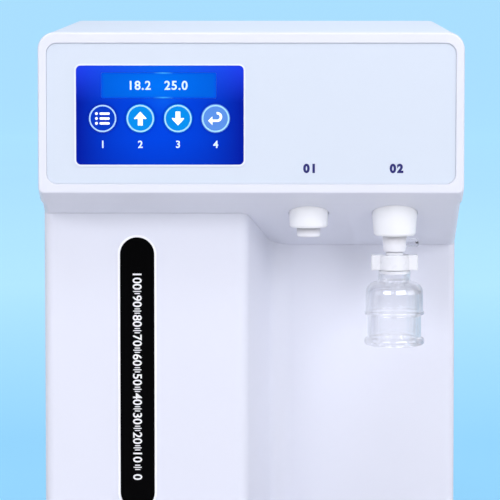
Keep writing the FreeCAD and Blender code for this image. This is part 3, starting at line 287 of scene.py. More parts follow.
def brushed(name, colour, roughness=0.32, along=ALONG_X):
    """Brushed or drawn metal: long fine scratches along one direction."""
    made = Finish(name, colour, roughness, Metallic=1.0)
    lines = made.noise(scale=90, detail=5, stretch=along)
    made.set("Base Color", made.mix(lines, tinted(colour, 0.86), colour))
    made.uneven_gloss(roughness - 0.08, swing=0.18, mask=lines)
    made.bump(lines, strength=0.2, depth=0.03 * MM, normal=made.soft_edges(0.3 * MM))
    return made.material


def powder_coat(name, colour):
    """Painted sheet with a fine orange-peel surface."""
    made = Finish(name, colour, 0.5)
    peel = made.noise(scale=900, detail=3)
    made.set("Base Color", made.mix(made.noise(scale=12, detail=2), tinted(colour, 0.96), colour))
    made.uneven_gloss(0.42, swing=0.14, mask=peel)
    made.bump(peel, strength=0.4, depth=0.04 * MM, normal=made.soft_edges(0.4 * MM))
    return made.material


def rubber(name, colour):
    """Dull dark rubber, paler where it is dusty."""
    made = Finish(name, colour, 0.8)
    dust = made.noise(scale=70, detail=4)
    dusty = tuple(c * DUST_GAIN + DUST_LIFT for c in colour)
    made.set("Base Color", made.mix(dust, colour, dusty))
    made.uneven_gloss(0.72, swing=0.2, mask=dust)
    made.bump(made.noise(scale=1500, detail=2), strength=0.5, depth=0.05 * MM,
              normal=made.soft_edges(0.4 * MM))
    return made.material


def frosted(name, colour):
    """Translucent moulded plastic, milky through and through."""
    made = Finish(name, colour, 0.3, Coat_Weight=0.5)
    haze = made.noise(scale=120, detail=3)
    made.set("Base Color", made.mix(haze, tinted(colour, 0.97), colour))
    made.uneven_gloss(0.22, swing=0.12, mask=haze)
    made.bump(made.noise(scale=1800, detail=2), strength=0.15, depth=0.01 * MM,
              normal=made.soft_edges(1.2 * MM))
    see_through(made, share=0.1)
    return made.material


def printed(name, colour, shine=0.0):
    """Printed ink, very slightly mottled, with some light of its own if it has a shine."""
    made = Finish(name, colour, 0.4)
    mottle = made.noise(scale=1200, detail=3)
    made.set("Base Color", made.mix(mottle, tinted(colour, 0.94), colour))
    made.uneven_gloss(0.34, swing=0.12, mask=mottle)
    if shine:
        made.set("Emission Color", colour)
        made.set("Emission Strength", shine)
    return made.material


# Finishes of single pieces. Starts and drops are in half sizes of the bell, the display or its window
# Painted shade down the right edge of the bell: its colour, where it starts, how fast it grows and how much
# it counts
BELL_PAINTED_SHADE = (0.36, 0.34, 0.42)
BELL_PAINTED_SHADE_FROM = 0.8
BELL_PAINTED_SHADE_GAIN = 9
BELL_PAINTED_SHADE_SHARE = 0.95
FLOW_STRETCH = (1, 1, 4)
CLEAR_INDEX = 1.4
CLEAR_ROUGHNESS = 0.02
CLEAR_COAT_INDEX = 2.1
NOZZLE_WHITE = (0.88, 0.88, 0.92)
# Green share of the painted shadow under the outlet collars
PAINTED_SHADOW_GREEN = 0.97
COLLAR_OVERLAP = 1 * MM
DEEP_BLUE = (0.001, 0.013, 0.36)
MIDDLE_BLUE = (0.0, 0.06, 0.74)
UPPER_BLUE = (0.002, 0.115, 0.81)
CORNER_VIOLET = (0.013, 0.05, 0.79)
SIDES_GAIN = 1.05
SIDES_LEAST = 0.02
CORNERS_GAIN = 1.15
CORNERS_LESS = 0.08
FOOT_SHARE = 0.55
# Painted glow below the window: how far below the window's middle it sits and how strong it is
PAINTED_GLOW_DROP = 1.2
PAINTED_GLOW_SHARE = 0.8
# Painted shadow round the keys on the display: how far out it reaches and how dark it is
KEY_PAINTED_SHADOW_REACH = 2.6 * MM
KEY_PAINTED_SHADOW = 0.5
WINDOW_BLUE = (0.0, 0.12, 0.72)
WINDOW_PALE = (0.0, 0.17, 0.9)
WINDOW_EDGE = (0.001, 0.08, 0.76)
WINDOW_EDGE_SHARE = 0.8
GLINT = (0.06, 0.5, 1.0)
GLINT_RIGHT = 0.08
TRACK_CELLS = 160
TRACK_HALF = 0.06
FILM_MILK = (0.93, 0.95, 1.0)
FILM_LEAST_ALPHA = 0.06
FILM_ALPHA_SWING = 0.08


def clear(name, colour, straight, coat):
    """Clear moulded plastic with faint flow lines, and painted shade from the bell's right edge on: greyer
    there and with less coat.
    """
    made = Finish(name, colour, CLEAR_ROUGHNESS, Transmission_Weight=1.0, IOR=CLEAR_INDEX,
                  Coat_Weight=coat, Coat_IOR=CLEAR_COAT_INDEX, Coat_Roughness=0.03)
    across = from_middle(made, "capsule_bell")[0]
    # Painted shade: greyer colour and a weaker coat toward the bell's right edge
    edge = made.rise(across, BELL_PAINTED_SHADE_FROM, BELL_PAINTED_SHADE_GAIN)
    made.set("Base Color", made.mix(edge * BELL_PAINTED_SHADE_SHARE, colour, BELL_PAINTED_SHADE))
    made.set("Coat Weight", coat - edge * coat)
    flow = made.noise(scale=40, detail=2, stretch=FLOW_STRETCH)
    made.uneven_gloss(CLEAR_ROUGHNESS, swing=0.03, mask=flow)
    made.bump(flow, strength=0.05, depth=0.2 * MM)
    see_through(made, straight)
    return made.material


def nozzle_finish(collar, shade, shadow_reach):
    """Glossy white, with a painted shadow of the collar: darker over a short reach below the collar's lower
    edge.
    """
    made = Finish(collar + "_nozzle", NOZZLE_WHITE, 0.3)
    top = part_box(collar)[0].z + COLLAR_OVERLAP
    # Painted shadow: the colour darkens towards the collar's lower edge
    below = made.clamp((top - made.across()[2]) / shadow_reach)
    dark = (shade, shade * PAINTED_SHADOW_GREEN, shade)
    cloud = made.noise(scale=60, detail=3)
    made.set("Base Color", made.mix(below, dark, NOZZLE_WHITE))
    made.uneven_gloss(0.25, swing=0.1, mask=cloud)
    made.bump(cloud, strength=0.1, depth=0.02 * MM, normal=made.soft_edges(0.4 * MM))
    return made.material


def round_keys(made):
    """Painted shadow round the keys: a mask that is 1 at the edge of a key and fades a little way out."""
    x, _, z = made.across()
    radius = cap_radius()
    shade = 0
    for key in KEYS:
        middle = centre(key)
        away = ((x - middle.x) * (x - middle.x) + (z - middle.z) * (z - middle.z)) ** 0.5
        shade = shade + made.clamp(1 - (away - radius) / KEY_PAINTED_SHADOW_REACH)
    return shade


def display_finish(name):
    """Blue field: deep at its sides and foot, brighter in the middle and on top, violet in the corners, with
    a painted glow below the window and painted shadow round the keys.
    """
    made = Finish(name, MIDDLE_BLUE, 0.2, Specular_IOR_Level=0.04)
    u, v = from_middle(made, "display_overlay")
    sides = made.clamp(u * u * SIDES_GAIN + SIDES_LEAST)
    corners = made.clamp(abs(u) * CORNERS_GAIN - CORNERS_LESS)
    upper = made.rise(v, start=0.25, gain=1.45)
    foot = made.rise(v, start=-0.5, gain=-1.1)
    across, up = from_middle(made, "lcd_window")
    # Painted glow spilling from the window onto the field below it
    painted_glow_below_window = glow(made, across - GLINT_RIGHT, up + PAINTED_GLOW_DROP, narrow=2.6, flat=0.8)
    colour = made.mix(sides, MIDDLE_BLUE, DEEP_BLUE)
    colour = made.mix(upper, colour, made.mix(corners, UPPER_BLUE, CORNER_VIOLET))
    colour = made.mix(painted_glow_below_window * PAINTED_GLOW_SHARE, colour, UPPER_BLUE)
    colour = made.mix(foot * FOOT_SHARE, colour, DEEP_BLUE)
    # Painted shadow: the blue deepens just outside each key
    colour = made.mix(round_keys(made) * KEY_PAINTED_SHADOW, colour, DEEP_BLUE)
    grain = made.noise(scale=400, detail=2)
    lit(made, colour)
    made.uneven_gloss(0.16, swing=0.08, mask=grain)
    made.bump(grain, strength=0.05, depth=0.05 * MM, normal=made.soft_edges(0.2 * MM))
    return made.material


def window_finish(name):
    """Paler window with a thin bright glint near the middle of its long edges."""
    made = Finish(name, WINDOW_BLUE, 0.15, Specular_IOR_Level=0.04)
    across, up = from_middle(made, "lcd_window")
    middle = glow(made, across, up, narrow=1.1, flat=0.5)
    border = made.rise(abs(across), start=0.93, gain=14) + made.rise(abs(up), start=0.82, gain=6)
    long_edges = made.rise(abs(up), start=0.86, gain=8)
    streak = glow(made, across - GLINT_RIGHT, 0.0, narrow=5.5, flat=1.0) * long_edges
    colour = made.mix(middle, WINDOW_BLUE, WINDOW_PALE)
    colour = made.mix(made.clamp(border) * WINDOW_EDGE_SHARE, colour, WINDOW_EDGE)
    lit(made, made.mix(streak, colour, GLINT))
    grain = made.noise(scale=400, detail=2)
    made.uneven_gloss(0.12, swing=0.08, mask=grain)
    made.bump(grain, strength=0.05, depth=0.05 * MM)
    return made.material


def key_finish(name, colour):
    """Lit key cap, a little deeper in places."""
    made = Finish(name, colour, 0.25, Specular_IOR_Level=0.06)
    shade = made.noise(scale=70, detail=2)
    lit(made, made.mix(shade, tinted(colour, 0.88), colour))
    made.uneven_gloss(0.2, swing=0.1, mask=made.noise(scale=300, detail=2))
    made.bump(shade, strength=0.05, depth=0.05 * MM, normal=made.soft_edges(0.3 * MM))
    return made.material


def circuit_finish(name, colour):
    """Solder mask, paler and lower along the fine lines between its cells."""
    made = Finish(name, colour, 0.35)
    cells = made.node("ShaderNodeTexVoronoi", {"feature": "DISTANCE_TO_EDGE"},
                      {"Vector": made.place(), "Scale": TRACK_CELLS})
    between = cells.above(TRACK_HALF)
    made.set("Base Color", made.mix(between, tinted(colour, 2.4), colour))
    made.uneven_gloss(0.3, swing=0.1, mask=between)
    made.bump(between, strength=0.3, depth=0.05 * MM)
    return made.material


def membrane_finish(name):
    """Thin milky film with a fine woven grain, clear enough to see through."""
    made = Finish(name, FILM_MILK, 0.5, Alpha=0.1)
    weave = made.noise(scale=3000, detail=2)
    made.set("Alpha", FILM_LEAST_ALPHA + FILM_ALPHA_SWING * weave)
    made.uneven_gloss(0.35, swing=0.2, mask=weave)
    made.bump(weave, strength=0.3, depth=0.02 * MM)
    return made.material


def finishes():
    """One finish for each material slot of the record."""
    return {
        "housing_white": moulded("housing_plastic", (0.775, 0.79, 0.875), 0.4, tone=0.012, edge=0.8 * MM),
        "panel_white": moulded("panel_plastic", (0.673, 0.737, 0.825), 0.36, tone=0.01, edge=0.4 * MM),
        "display_blue": display_finish("display_overlay_print"),
        "lcd_lens": window_finish("lit_window"),
        "lcd_black": moulded("lcd_frame", (0.02, 0.03, 0.08)),
        "key_dark_blue": key_finish("key_deep_blue", (0.001, 0.045, 0.56)),
        "key_azure": key_finish("key_azure_blue", (0.001, 0.285, 0.87)),
        "key_pale_blue": key_finish("key_soft_blue", (0.115, 0.305, 0.83)),
        "black_plastic": moulded("black_moulding", (0.025, 0.025, 0.03), 0.45),
        "gloss_black": moulded("polished_black", (0.0008, 0.0008, 0.001), 0.2, grain=0.001 * MM, tone=0.1,
                               Specular_IOR_Level=0.03),
        "circuit_green": circuit_finish("circuit_mask", (0.01, 0.12, 0.05)),
        "pin_steel": brushed("bright_steel", (0.7, 0.71, 0.73)),
        "grey_plastic": moulded("grey_moulding", (0.42, 0.43, 0.46)),
        "rear_grey": powder_coat("rear_paint", (0.74, 0.76, 0.82)),
        "fitting_grey": moulded("fitting_moulding", (0.55, 0.57, 0.6), 0.38),
        "collet_blue": moulded("blue_collet", (0.02, 0.12, 0.5), 0.36),
        "collet_grey": moulded("grey_collet", (0.14, 0.15, 0.17), 0.36),
        "collet_white": moulded("white_collet", (0.8, 0.81, 0.84), 0.36),
        "contact_brass": brushed("inlet_brass", (0.83, 0.66, 0.33), 0.25),
        "outlet_white": moulded("outlet_plastic", (0.97, 0.975, 0.99), 0.3, grain=0.006 * MM, tone=0.01),
        "seal_rubber": rubber("seal", (0.02, 0.02, 0.02)),
        "clear_plastic": clear("clear_filter_plastic", (0.97, 0.98, 1.0), straight=0.35, coat=1.0),
        "frosted_plastic": frosted("frosted_filter_plastic", (0.96, 0.965, 1.0)),
        "membrane_white": membrane_finish("membrane_film"),
        "foot_rubber": rubber("foot", (0.03, 0.03, 0.033)),
        "tray_grey": moulded("tray_plastic", (0.5, 0.53, 0.58), 0.38),
        "grille_steel": brushed("grille_metal", (0.72, 0.73, 0.75), 0.3, ALONG_Y),
        "cartridge_white": moulded("cartridge_plastic", (0.8, 0.82, 0.86), 0.3, grain=0.006 * MM),
        "cap_blue": moulded("cap_plastic", (0.03, 0.12, 0.42), 0.38),
        "clip_white": moulded("clip_plastic", (0.72, 0.72, 0.75), 0.42),
        "motor_steel": brushed("motor_can", (0.55, 0.56, 0.58), 0.35, ALONG_Y),
        "lamp_steel": brushed("lamp_tube", (0.72, 0.73, 0.75), 0.22, ALONG_Z),
        "supply_steel": brushed("supply_case", (0.6, 0.61, 0.63), 0.4),
        "valve_white": moulded("valve_plastic", (0.74, 0.74, 0.76), 0.4),
        "tube_white": moulded("tube_plastic", (0.82, 0.84, 0.88), 0.3, grain=0.004 * MM),
    }


def own_finishes():
    """Finishes of the nodes that look different from the rest of their slot."""
    return {
        "vent_valve": clear("clear_stub_plastic", (0.85, 0.86, 0.9), straight=0.6, coat=0.1),
        "strip_trim": moulded("bright_trim", (0.97, 0.975, 1.0), 0.35, tone=0.01, edge=0.3 * MM),
        # The outlet nozzles carry a painted shadow under their collars
        "pure_outlet_nozzle": nozzle_finish("pure_outlet_collar", shade=0.3, shadow_reach=7 * MM),
        "ultrapure_outlet_nozzle": nozzle_finish("ultrapure_outlet_collar", shade=0.5, shadow_reach=9 * MM),
    }


def dress_nodes(slots):
    """Give every carried-over node the finish of its slot, or its own."""
    own = own_finishes()
    for entry in frame["record"]["subparts"]:
        node = frame["nodes"][entry["node"]]
        node.data.materials.clear()
        node.data.materials.append(own.get(entry["node"], slots[entry["material_slot"]]))


# Mesh helpers
RAW_EXTRUDE = 0.01


def piece(name, mesh, body, material):
    """A new object that rides on a body, with its finish and slot."""
    made = bpy.data.objects.new(name, mesh)
    bpy.context.scene.collection.objects.link(made)
    mesh.materials.clear()
    mesh.materials.append(material)
    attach(made, body)
    return made


def mesh_of(name, shape, crease=0):
    """The shape as a mesh, shaded smooth up to a crease angle in degrees."""
    bmesh.ops.recalc_face_normals(shape, faces=shape.faces)
    mesh = bpy.data.meshes.new(name)
    shape.to_mesh(mesh)
    shape.free()
    if crease:
        mesh.shade_smooth()
        mesh.set_sharp_from_angle(angle=math.radians(crease))
    return mesh


def flat_shape(outlines, thickness, turn, place):
    """Closed outlines in the plane, raised by a thickness, turned and put in place."""
    shape = bmesh.new()
    for outline in outlines:
        ring = [shape.verts.new((x, y, 0)) for x, y in outline]
        face = shape.faces.new(ring)
        grown = bmesh.ops.extrude_face_region(shape, geom=[face])["geom"]
        top = [v for v in grown if isinstance(v, bmesh.types.BMVert)]
        bmesh.ops.translate(shape, verts=top, vec=(0, 0, thickness))
    bmesh.ops.transform(shape, matrix=Matrix.Translation(place) @ turn, verts=shape.verts)
    return shape


def join_rings(shape, rings):
    """Faces from each ring of points to the next, and from the last to the first."""
    count = len(rings[0])
    for here, there in zip(rings, rings[1:] + rings[:1]):
        for i in range(count):
            j = (i + 1) % count
            shape.faces.new((here[i], there[i], there[j], here[j]))


def turned(profile, axis, turn=UPRIGHT, steps=ROUND_STEPS):
    """Closed profile of radius and height pairs, turned about an upright line or one set by a matrix."""
    shape = bmesh.new()
    rings = []
    for step in range(steps):
        angle = 2 * math.pi * step / steps
        rings.append([shape.verts.new((r * math.cos(angle), r * math.sin(angle), z)) for r, z in profile])
    join_rings(shape, rings)
    bmesh.ops.transform(shape, matrix=Matrix.Translation(axis) @ turn, verts=shape.verts)
    return shape


def crowned_ring(outer, inner, thickness, turn, place):
    """Flat ring with a softly crowned top."""
    crown = (outer - inner) / 4
    side = thickness * 0.7
    profile = [(inner, 0), (inner, side), (inner + crown, thickness),
               (outer - crown, thickness), (outer, side), (outer, 0)]
    return turned(profile, place, turn)


def arc(centre_r, centre_z, across, up, start, stop, steps=9):
    """Stretch of an ellipse between two angles in degrees, as radius and height pairs."""
    angles = [math.radians(start + (stop - start) * i / (steps - 1)) for i in range(steps)]
    return [(centre_r + across * math.cos(a), centre_z + up * math.sin(a)) for a in angles]


def ribbon(points, breadth):
    """Outline of a stroke of even breadth along a line of points."""
    left, right = [], []
    for i, (x, y) in enumerate(points):
        x0, y0 = points[max(i - 1, 0)]
        x1, y1 = points[min(i + 1, len(points) - 1)]
        length = math.hypot(x1 - x0, y1 - y0)
        nx, ny = -(y1 - y0) / length, (x1 - x0) / length
        left.append((x + nx * breadth / 2, y + ny * breadth / 2))
        right.append((x - nx * breadth / 2, y - ny * breadth / 2))
    return left + right[::-1]


def circle(x, y, radius, steps=CIRCLE_STEPS, start=0.0, sweep=2 * math.pi):
    """Points round a circle, or along a stretch of one with both its ends."""
    closed = sweep >= 2 * math.pi
    last = steps if closed else steps - 1
    return [(x + radius * math.cos(start + sweep * i / last), y + radius * math.sin(start + sweep * i / last))
            for i in range(steps)]


def rounded_bar(x0, x1, y0, y1, radius):
    corners = [(x1 - radius, y1 - radius, 0), (x0 + radius, y1 - radius, 1),
               (x0 + radius, y0 + radius, 2), (x1 - radius, y0 + radius, 3)]
    points = []
    for x, y, quarter in corners:
        points += circle(x, y, radius, CORNER_STEPS, quarter * math.pi / 2, math.pi / 2)
    return points


def lettering(text, height, turn, place, weight=0.02, spread=1.0):
    """Digits of a given height, centred on a place, as a thin raised print."""
    curve = bpy.data.curves.new("digits", "FONT")
    curve.body = text
    curve.align_x = "CENTER"
    curve.offset = weight
    curve.space_character = spread
    curve.extrude = RAW_EXTRUDE
    holder = bpy.data.objects.new("digits", curve)
    bpy.context.scene.collection.objects.link(holder)
    bpy.context.view_layer.update()
    mesh = bpy.data.meshes.new_from_object(holder)
    bpy.data.objects.remove(holder)
    bpy.data.curves.remove(curve)
    low = Vector([min(v.co[i] for v in mesh.vertices) for i in range(3)])
    high = Vector([max(v.co[i] for v in mesh.vertices) for i in range(3)])
    middle = (low + high) / 2
    scale = height / (high.y - low.y)
    lift = PRINT / (high.z - low.z)
    resize = Matrix.Diagonal((scale, scale, lift, 1)) @ Matrix.Translation((-middle.x, -middle.y, -low.z))
    mesh.transform(Matrix.Translation(place) @ turn @ resize)
    return mesh


# Display and keys
KEY_RING = 1.2 * MM
RING_INSET = 0.4 * MM
RING_CREASE = 60
KEY_PRINT = 0.12 * MM
KEY_DIGIT = 6.1 * MM
KEY_DIGIT_DROP = 21.2 * MM
ROW_PITCH = 4.0 * MM
DOT_LEFT = 5.1 * MM
DOT_RADIUS = 1.15 * MM
BAR_LEFT = 2.5 * MM
BAR_RIGHT = 5.8 * MM
BAR_HALF = 0.95 * MM
BAR_ROUND = 0.8 * MM
HOOK_MIDDLE = 1.3 * MM
HOOK_RADIUS = 3.1 * MM
HOOK_SWEEP = 1.05 * math.pi
HOOK_STEPS = 20
HOOK_END = (-3.2 * MM, -1.8 * MM)
STROKE = 2.0 * MM
RIM = 1.5 * MM
RIM_LIFT = 0.05 * MM
RIM_FORWARD = 0.3 * MM
DISPLAY_CORNER = 4 * MM
WINDOW_DIGIT = 7.5 * MM
WINDOW_READINGS = "18.2   25.0"


def list_icon():
    """Three rows, each a dot and a bar."""
    outlines = []
    for row in (-1, 0, 1):
        y = row * ROW_PITCH
        outlines.append(circle(-DOT_LEFT, y, DOT_RADIUS))
        outlines.append(rounded_bar(-BAR_LEFT, BAR_RIGHT, y - BAR_HALF, y + BAR_HALF, BAR_ROUND))
    return outlines


def arrow_icon(way):
    """Arrow that points up for 1 and down for -1."""
    points = [(0, 5.7), (5.2, 0), (4.4, -0.5), (2.0, -0.1), (2.0, -5.7),
              (-2.0, -5.7), (-2.0, -0.1), (-4.4, -0.5), (-5.2, 0)]
    return [[(x * MM, way * y * MM) for x, y in points][::way]]


def return_icon():
    """Hooked stroke with an arrowhead at its lower end."""
    bend = circle(HOOK_MIDDLE, HOOK_MIDDLE, HOOK_RADIUS, HOOK_STEPS, -math.pi / 2, HOOK_SWEEP)
    head = [(-6.2, -1.8), (-2.6, 1.8), (-2.6, -5.4)]
    return [ribbon([HOOK_END] + bend, STROKE), [(x * MM, y * MM) for x, y in head]]


def display_rim(white):
    """Bright painted line on the raised rim round the display."""
    low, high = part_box("display_overlay")
    front = low.y - RIM_FORWARD
    outer = rounded_bar(low.x - RIM, high.x + RIM, low.z - RIM, high.z + RIM, DISPLAY_CORNER + RIM)
    inner = rounded_bar(low.x, high.x, low.z, high.z, DISPLAY_CORNER)
    shape = bmesh.new()
    rings = [[shape.verts.new((x, front - lift, z)) for x, z in line]
             for line, lift in ((inner, 0), (inner, RIM_LIFT), (outer, RIM_LIFT), (outer, 0))]
    join_rings(shape, rings)
    piece("display_rim", mesh_of("rim", shape), "housing", white)


def keys(white, ring_tints, soft):
    """Pale ring and white symbol on each key, and a plain number on the display under it."""
    overlay_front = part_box("display_overlay")[0].y
    outer = cap_radius() - RING_INSET
    icons = (list_icon(), arrow_icon(1), arrow_icon(-1), return_icon())
    for number, (node, outlines, tint) in enumerate(zip(KEYS, icons, ring_tints), 1):
        middle = centre(node)
        face = Vector((middle.x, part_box(node)[0].y, middle.z))
        ring = crowned_ring(outer, outer - KEY_RING, KEY_PRINT, TO_FRONT, face)
        piece(node + "_ring", mesh_of("ring", ring, RING_CREASE), node, tint)
        icon = flat_shape(outlines, KEY_PRINT, TO_FRONT, face)
        piece(node + "_symbol", mesh_of("symbol", icon), node, white)
        below = Vector((middle.x, overlay_front, middle.z - KEY_DIGIT_DROP))
        digit = lettering(str(number), KEY_DIGIT, TO_FRONT, below)
        piece(node + "_number", digit, "housing", soft)


def window_digits(white):
    """Two plain readings on the window."""
    middle = centre("lcd_window")
    place = Vector((middle.x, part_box("lcd_window")[0].y, middle.z))
    readings = lettering(WINDOW_READINGS, WINDOW_DIGIT, TO_FRONT, place, spread=1.12)
    piece("window_readings", readings, "housing", white)


# Outlets
OUTLET_DIGIT = 7.8 * MM
OUTLET_DIGIT_RISE = 15.4 * MM


def outlet_digits(navy):
    """Plain number on the panel above each outlet."""
    face = panel_face()
    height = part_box("control_panel")[0].z + OUTLET_DIGIT_RISE
    for number, node in enumerate(("pure_outlet_collar", "ultrapure_outlet_collar"), 1):
        place = Vector((centre(node).x, face, height))
        digit = lettering("0%d" % number, OUTLET_DIGIT, TO_FRONT, place, weight=0.06, spread=1.25)
        piece(node + "_number", digit, "housing", navy)


# Final filter
BELL_NECK = 13.5 * MM
BELL_BORE = 11.1 * MM
BELL_UPPER = 24.1 * MM
BELL_LOWER = 22.5 * MM
BELL_WALL = 3.3 * MM
NECK_LENGTH = 9.0 * MM
SHOULDER = 10.5 * MM
NECK_FILLET = 1.4 * MM
BEAD_RISE = 27.4 * MM
BEAD_HALF = 1.5 * MM
BEAD_BULGE = 0.9 * MM
RIM_HEIGHT = 7.0 * MM
RIM_BULGE = 2.4 * MM
RIM_OUT = 0.4 * MM
FOOT_ROUND = 1.0 * MM
BELL_CREASE = 35
FILM = 1.4 * MM
FILM_DISH = 0.8 * FILM
FILM_PLAY = 0.2 * MM
FILM_HOLE = 0.2 * MM
FILM_ROUND = 0.3 * MM
FILM_LIP = 1.2 * MM
FILM_SLOPE = 0.4 * MM
FILM_CREASE = 30
SEAL_RADIUS = 0.85 * MM
SEAL_LENGTH = 2.4 * MM
SEAL_ROUND = 0.4 * MM
SEAL_HOLE = 0.1 * MM
SEAL_SUNK = 0.2 * MM
SEAL_CREASE = 40


def bell_profile():
    """Neck, round shoulder, bead and rim of the bell outside, and its thick even wall inside."""
    low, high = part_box("capsule_bell")
    top, foot = high.z, low.z
    shoulder_top = top - NECK_LENGTH
    shoulder_low = shoulder_top - SHOULDER
    bead = foot + BEAD_RISE
    under_bead = bead - BEAD_HALF
    rim = foot + RIM_HEIGHT / 2
    inner_upper = BELL_UPPER - BELL_WALL
    inner_lower = BELL_LOWER - BELL_WALL
    fillet = BELL_NECK + NECK_FILLET
    outside = [(BELL_NECK - FOOT_ROUND / 2, top), (BELL_NECK, top - FOOT_ROUND / 2)]
    outside += arc(fillet, shoulder_top + NECK_FILLET, NECK_FILLET, NECK_FILLET, 180, 270, steps=6)
    outside += arc(fillet, shoulder_low, BELL_UPPER - fillet, SHOULDER, 88, 0, steps=16)
    outside += arc(BELL_UPPER, bead, BEAD_BULGE, BEAD_HALF, 90, -70)
    outside += [(BELL_LOWER + FOOT_ROUND / 2, under_bead - FOOT_ROUND / 2),
                (BELL_LOWER, under_bead - 1.2 * FOOT_ROUND),
                (BELL_LOWER, foot + RIM_HEIGHT + FOOT_ROUND / 2)]
    outside += arc(BELL_LOWER + RIM_OUT, rim + FOOT_ROUND / 4, RIM_BULGE, RIM_HEIGHT / 2 - FOOT_ROUND / 4,
                   75, -80, steps=12)
    inside = [(inner_lower + FOOT_ROUND, foot), (inner_lower, foot + FOOT_ROUND), (inner_lower, under_bead),
              (inner_upper, under_bead), (inner_upper, shoulder_low)]
    inside += arc(BELL_BORE, shoulder_low, inner_upper - BELL_BORE, SHOULDER - BELL_WALL, 6, 90, steps=14)
    inside += [(BELL_BORE, top)]
    return outside + inside


def film_profile():
    """Thin disc with a lip round its upper edge, that just fits the bell."""
    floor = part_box("filter_membrane")[0].z
    radius = BELL_UPPER - BELL_WALL - FILM_PLAY
    lip = radius - FILM_LIP
    return [(FILM_HOLE, floor), (radius - FILM_ROUND, floor), (radius, floor + FILM_ROUND),
            (radius, floor + FILM), (lip, floor + FILM), (lip - FILM_SLOPE, floor + FILM_DISH),
            (FILM_HOLE, floor + FILM_DISH)]


def final_filter(glass, film):
    """Clear bell with its round membrane. Neither throws a shadow, as clear plastic hardly does."""
    middle = centre("capsule_bell")
    axis = Vector((middle.x, middle.y, 0))
    bell_mesh = mesh_of("bell", turned(bell_profile(), axis), BELL_CREASE)
    bell = piece("filter_bell", bell_mesh, "capsule", glass)
    bell.visible_shadow = False
    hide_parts("capsule_bell")
    film_mesh = mesh_of("film", turned(film_profile(), axis), FILM_CREASE)
    membrane = piece("filter_film", film_mesh, "capsule", film)
    membrane.visible_shadow = False
    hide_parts("filter_membrane")


def vent_seal(dark):
    """Small dark seal in the mouth of the vent stub."""
    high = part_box("vent_valve")[1]
    middle = centre("vent_valve")
    inset = SEAL_RADIUS - SEAL_ROUND
    profile = [(SEAL_HOLE, 0)]
    profile += arc(inset, SEAL_ROUND, SEAL_ROUND, SEAL_ROUND, -90, 0, steps=4)
    profile += arc(inset, SEAL_LENGTH - SEAL_ROUND, SEAL_ROUND, SEAL_ROUND, 0, 90, steps=4)
    profile += [(SEAL_HOLE, SEAL_LENGTH)]
    place = Vector((high.x - SEAL_LENGTH - SEAL_SUNK, middle.y, middle.z))
    seal = turned(profile, place, TO_RIGHT, SMALL_ROUND_STEPS)
    piece("vent_seal", mesh_of("seal", seal, SEAL_CREASE), "housing", dark)


# Strip
SCALE_TOP_DROP = 40 * MM
SCALE_FOOT_RISE = 30 * MM
SCALE_FULL = 100
SCALE_NUMBERS = 10
SCALE_TICKS = 3
SCALE_DIGIT = 7.6 * MM
TICK = 4.6 * MM
LONG_TICK = 1.5 * TICK
TICK_BREADTH = 0.8 * MM
TICK_ROUND = 0.45 * TICK_BREADTH
TICK_PITCH = 1.8 * MM


def ticks(between):
    """Outlines of the ticks round a height, the middle one longer."""
    outlines = []
    for tick in range(SCALE_TICKS):
        y = between + (tick - (SCALE_TICKS - 1) / 2) * TICK_PITCH
        half = (LONG_TICK if tick == SCALE_TICKS // 2 else TICK) / 2
        outlines.append(rounded_bar(-half, half, y - TICK_BREADTH / 2, y + TICK_BREADTH / 2, TICK_ROUND))
    return outlines


def strip_scale(white):
    """Plain scale from 100 down to 0 along the middle of the black strip, with ticks between."""
    low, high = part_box("strip_lens")
    middle = (low + high) / 2
    top = high.z - SCALE_TOP_DROP
    pitch = (top - low.z - SCALE_FOOT_RISE) / SCALE_NUMBERS
    outlines = []
    for step in range(SCALE_NUMBERS + 1):
        z = top - step * pitch
        number = SCALE_FULL - SCALE_FULL * step // SCALE_NUMBERS
        digit = lettering(str(number), SCALE_DIGIT, DOWN_FRONT, Vector((middle.x, low.y, z)), weight=0.015)
        piece("strip_scale_%d" % number, digit, "housing", white)
        if step < SCALE_NUMBERS:
            outlines += ticks(z - pitch / 2)
    lines = flat_shape(outlines, PRINT, TO_FRONT, Vector((middle.x, low.y, 0)))
    piece("strip_scale_lines", mesh_of("lines", lines), "housing", white)


# Rear
REAR_DIGIT = 6 * MM
REAR_DIGIT_RISE = 19 * MM


def rear_digits(dark):
    """Plain number above each tube fitting."""
    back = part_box("rear_panel")[1].y
    for number, node in enumerate(("feed_collet", "drain_collet", "tank_collet"), 1):
        middle = centre(node)
        place = Vector((middle.x, back, middle.z + REAR_DIGIT_RISE))
        digit = lettering(str(number), REAR_DIGIT, TO_REAR, place)
        piece(node + "_number", digit, "housing", dark)


# Stage
STAGE_HALF = 9.0
STAGE_FRONT = -9.0
STAGE_BEND = 7.0
STAGE_RADIUS = 2.0
STAGE_TOP = 6.0
BEND_STEPS = 24
BLUE_FROM = 0.26
BLUE_OVER = 0.11
FAR_FROM = 0.8
FAR_OVER = 1.8
BLUE_HALF = 0.36
BLUE_WIDER = 0.095
BLUE_FADE = 1.6
FLOOR = (0.69, 0.69, 0.7)
BACKDROP = (0.18, 0.3, 0.36)
NEAR_GLOW = (0.15, 0.42, 0.67)
FAR_GLOW = (0.33, 0.6, 0.81)
SIDE_GLOW = (0.36, 0.43, 0.5)


